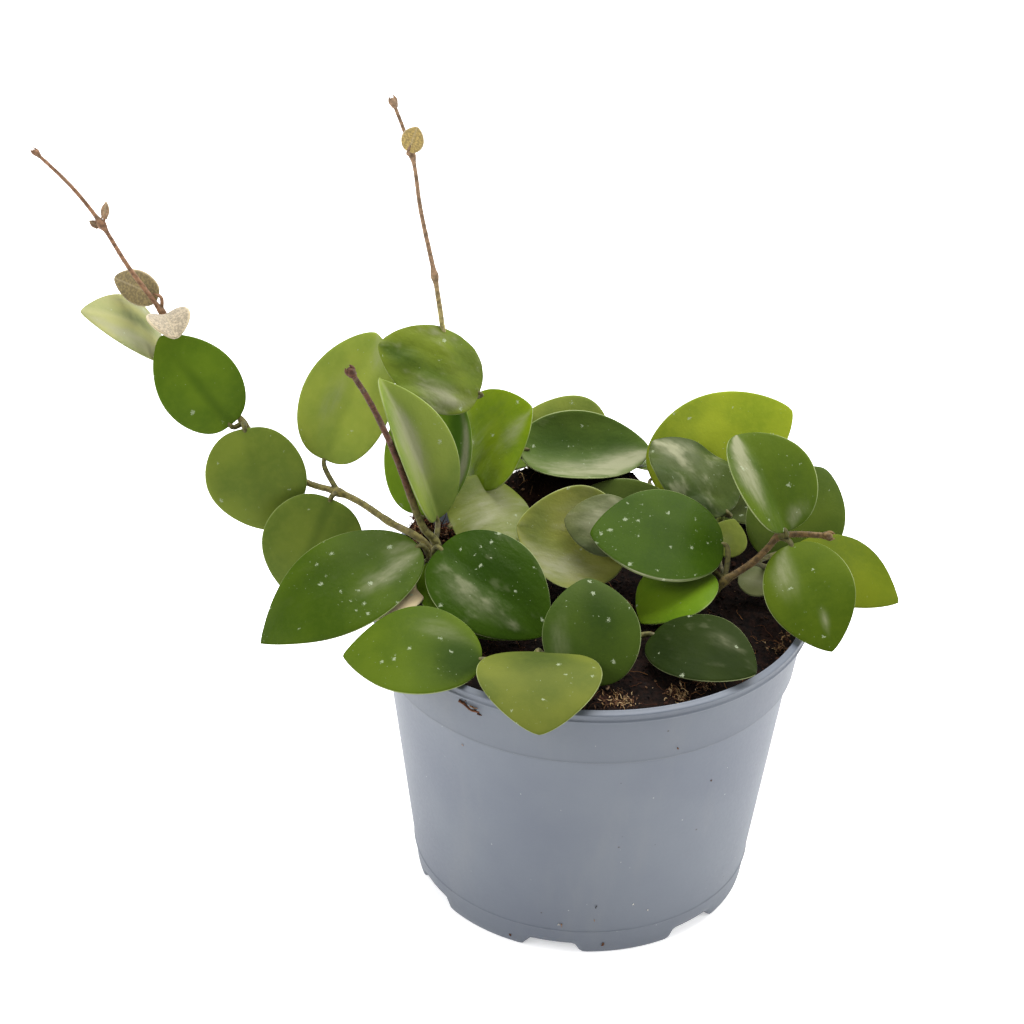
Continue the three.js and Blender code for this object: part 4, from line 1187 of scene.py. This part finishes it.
def plant_litter():
    """Crumbs, shreds and strands, each with its own colour."""
    material, tree, surface = new_material("bark and coir", 0.9, Specular_IOR_Level=0.15)
    tint = attribute(tree, "tint", "Color")
    grain = cloud(tree, own_place(tree), 1200, 3)
    colour = blend(tree, ramp(tree, grain, 0.3, 0.7), tinted(tree, tint, 0.5, 0.48, 0.45),
                   tinted(tree, tint, 1.3, 1.25, 1.2))
    feed(tree, surface.inputs["Base Color"], colour)
    set_bump(tree, surface, grain, 0.8, 0.0003)
    return material


def pale_floor():
    """A near-white floor that glows a little, as painted light that lifts its shadows and lights the plant
    from below, so that it blends with the backdrop.
    """
    material, tree, surface = new_material(
        "pale studio floor", 0.85, Emission_Color=(1, 1, 1, 1), Emission_Strength=0.45)
    mottle = cloud(tree, own_place(tree), 3, 2)
    colour = blend(tree, mottle, (0.86, 0.86, 0.86, 1), (0.9, 0.9, 0.9, 1))
    feed(tree, surface.inputs["Base Color"], colour)
    return material


# ---------------------------------------------------------------- stage, in metres
FLOOR_HALF = 3
BACKDROP_STRENGTH = 0.32
# name, place, the point that it looks at, size and power
SOFTBOXES = [
    ("overhead", (0.12, 0.5, 1.42), (0, 0.05, 0.1), 1.4, 48),
    ("left", (-1.4, -0.2, 0.75), (0, 0, 0.08), 0.9, 15),
    ("right", (1.4, -0.1, 0.75), (0, 0, 0.08), 0.9, 14),
    ("front left", (-0.75, -1.0, 1.15), (0, 0, 0.08), 0.6, 6),
]
# how far the camera turns to the right, up and about its own axis, in degrees
CAMERA_TURN = (-2.0846, -29.9269, 1.4889)
CAMERA_PLACE = (0, -0.752047, 0.571857)
CAMERA_LENS = 91.406


def make_floor(material):
    half = FLOOR_HALF
    mesh = bpy.data.meshes.new("studio_floor")
    mesh.from_pydata([(-half, -half, 0), (half, -half, 0), (half, half, 0), (-half, half, 0)], [],
                     [(0, 1, 2, 3)])
    mesh.materials.append(material)
    place_object("studio_floor", mesh)


def light_studio():
    """A white backdrop and soft square lights."""
    world = bpy.data.worlds.new("studio")
    world.use_nodes = True
    backdrop = world.node_tree.nodes["Background"]
    backdrop.inputs["Color"].default_value = (1, 1, 1, 1)
    backdrop.inputs["Strength"].default_value = BACKDROP_STRENGTH
    bpy.context.scene.world = world
    for name, place, aim, size, power in SOFTBOXES:
        data = bpy.data.lights.new(name, "AREA")
        data.shape, data.size, data.energy = "SQUARE", size, power
        light = place_object(name, data)
        light.location = place
        light.rotation_euler = (Vector(aim) - Vector(place)).to_track_quat("-Z", "Y").to_euler()
    bpy.context.scene.view_settings.view_transform = "Standard"


def place_camera():
    """A long lens that looks down at the plant from the front."""
    yaw, pitch, roll = (math.radians(angle) for angle in CAMERA_TURN)
    ahead = Vector((math.sin(yaw) * math.cos(pitch), math.cos(yaw) * math.cos(pitch), math.sin(pitch)))
    right = ahead.cross(Vector((0, 0, 1))).normalized()
    over = right.cross(ahead)
    x = right * math.cos(roll) + over * math.sin(roll)
    y = over * math.cos(roll) - right * math.sin(roll)
    data = bpy.data.cameras.new("camera")
    data.sensor_width, data.lens = 36, CAMERA_LENS
    data.clip_start, data.clip_end = 0.05, 20
    camera = place_object("camera", data)
    turned = Matrix((x, y, -ahead)).transposed().to_4x4()
    camera.matrix_world = Matrix.Translation(CAMERA_PLACE) @ turned
    bpy.context.scene.camera = camera


# ---------------------------------------------------------------- the dressed part
flecks = silver_flecks()
specks = grit_specks()
plant_materials = [waxy_leaf(flecks), bark(), young_leaf(), hair()]
for index, plant in enumerate(STEMS):
    make_leafy_stem(plant, index, plant_materials)
make_pot(nursery_plastic(specks))
make_soil(damp_peat())
litter = plant_litter()
make_litter(litter)
make_coir_clump(litter)
make_floor(pale_floor())
light_studio()
place_camera()
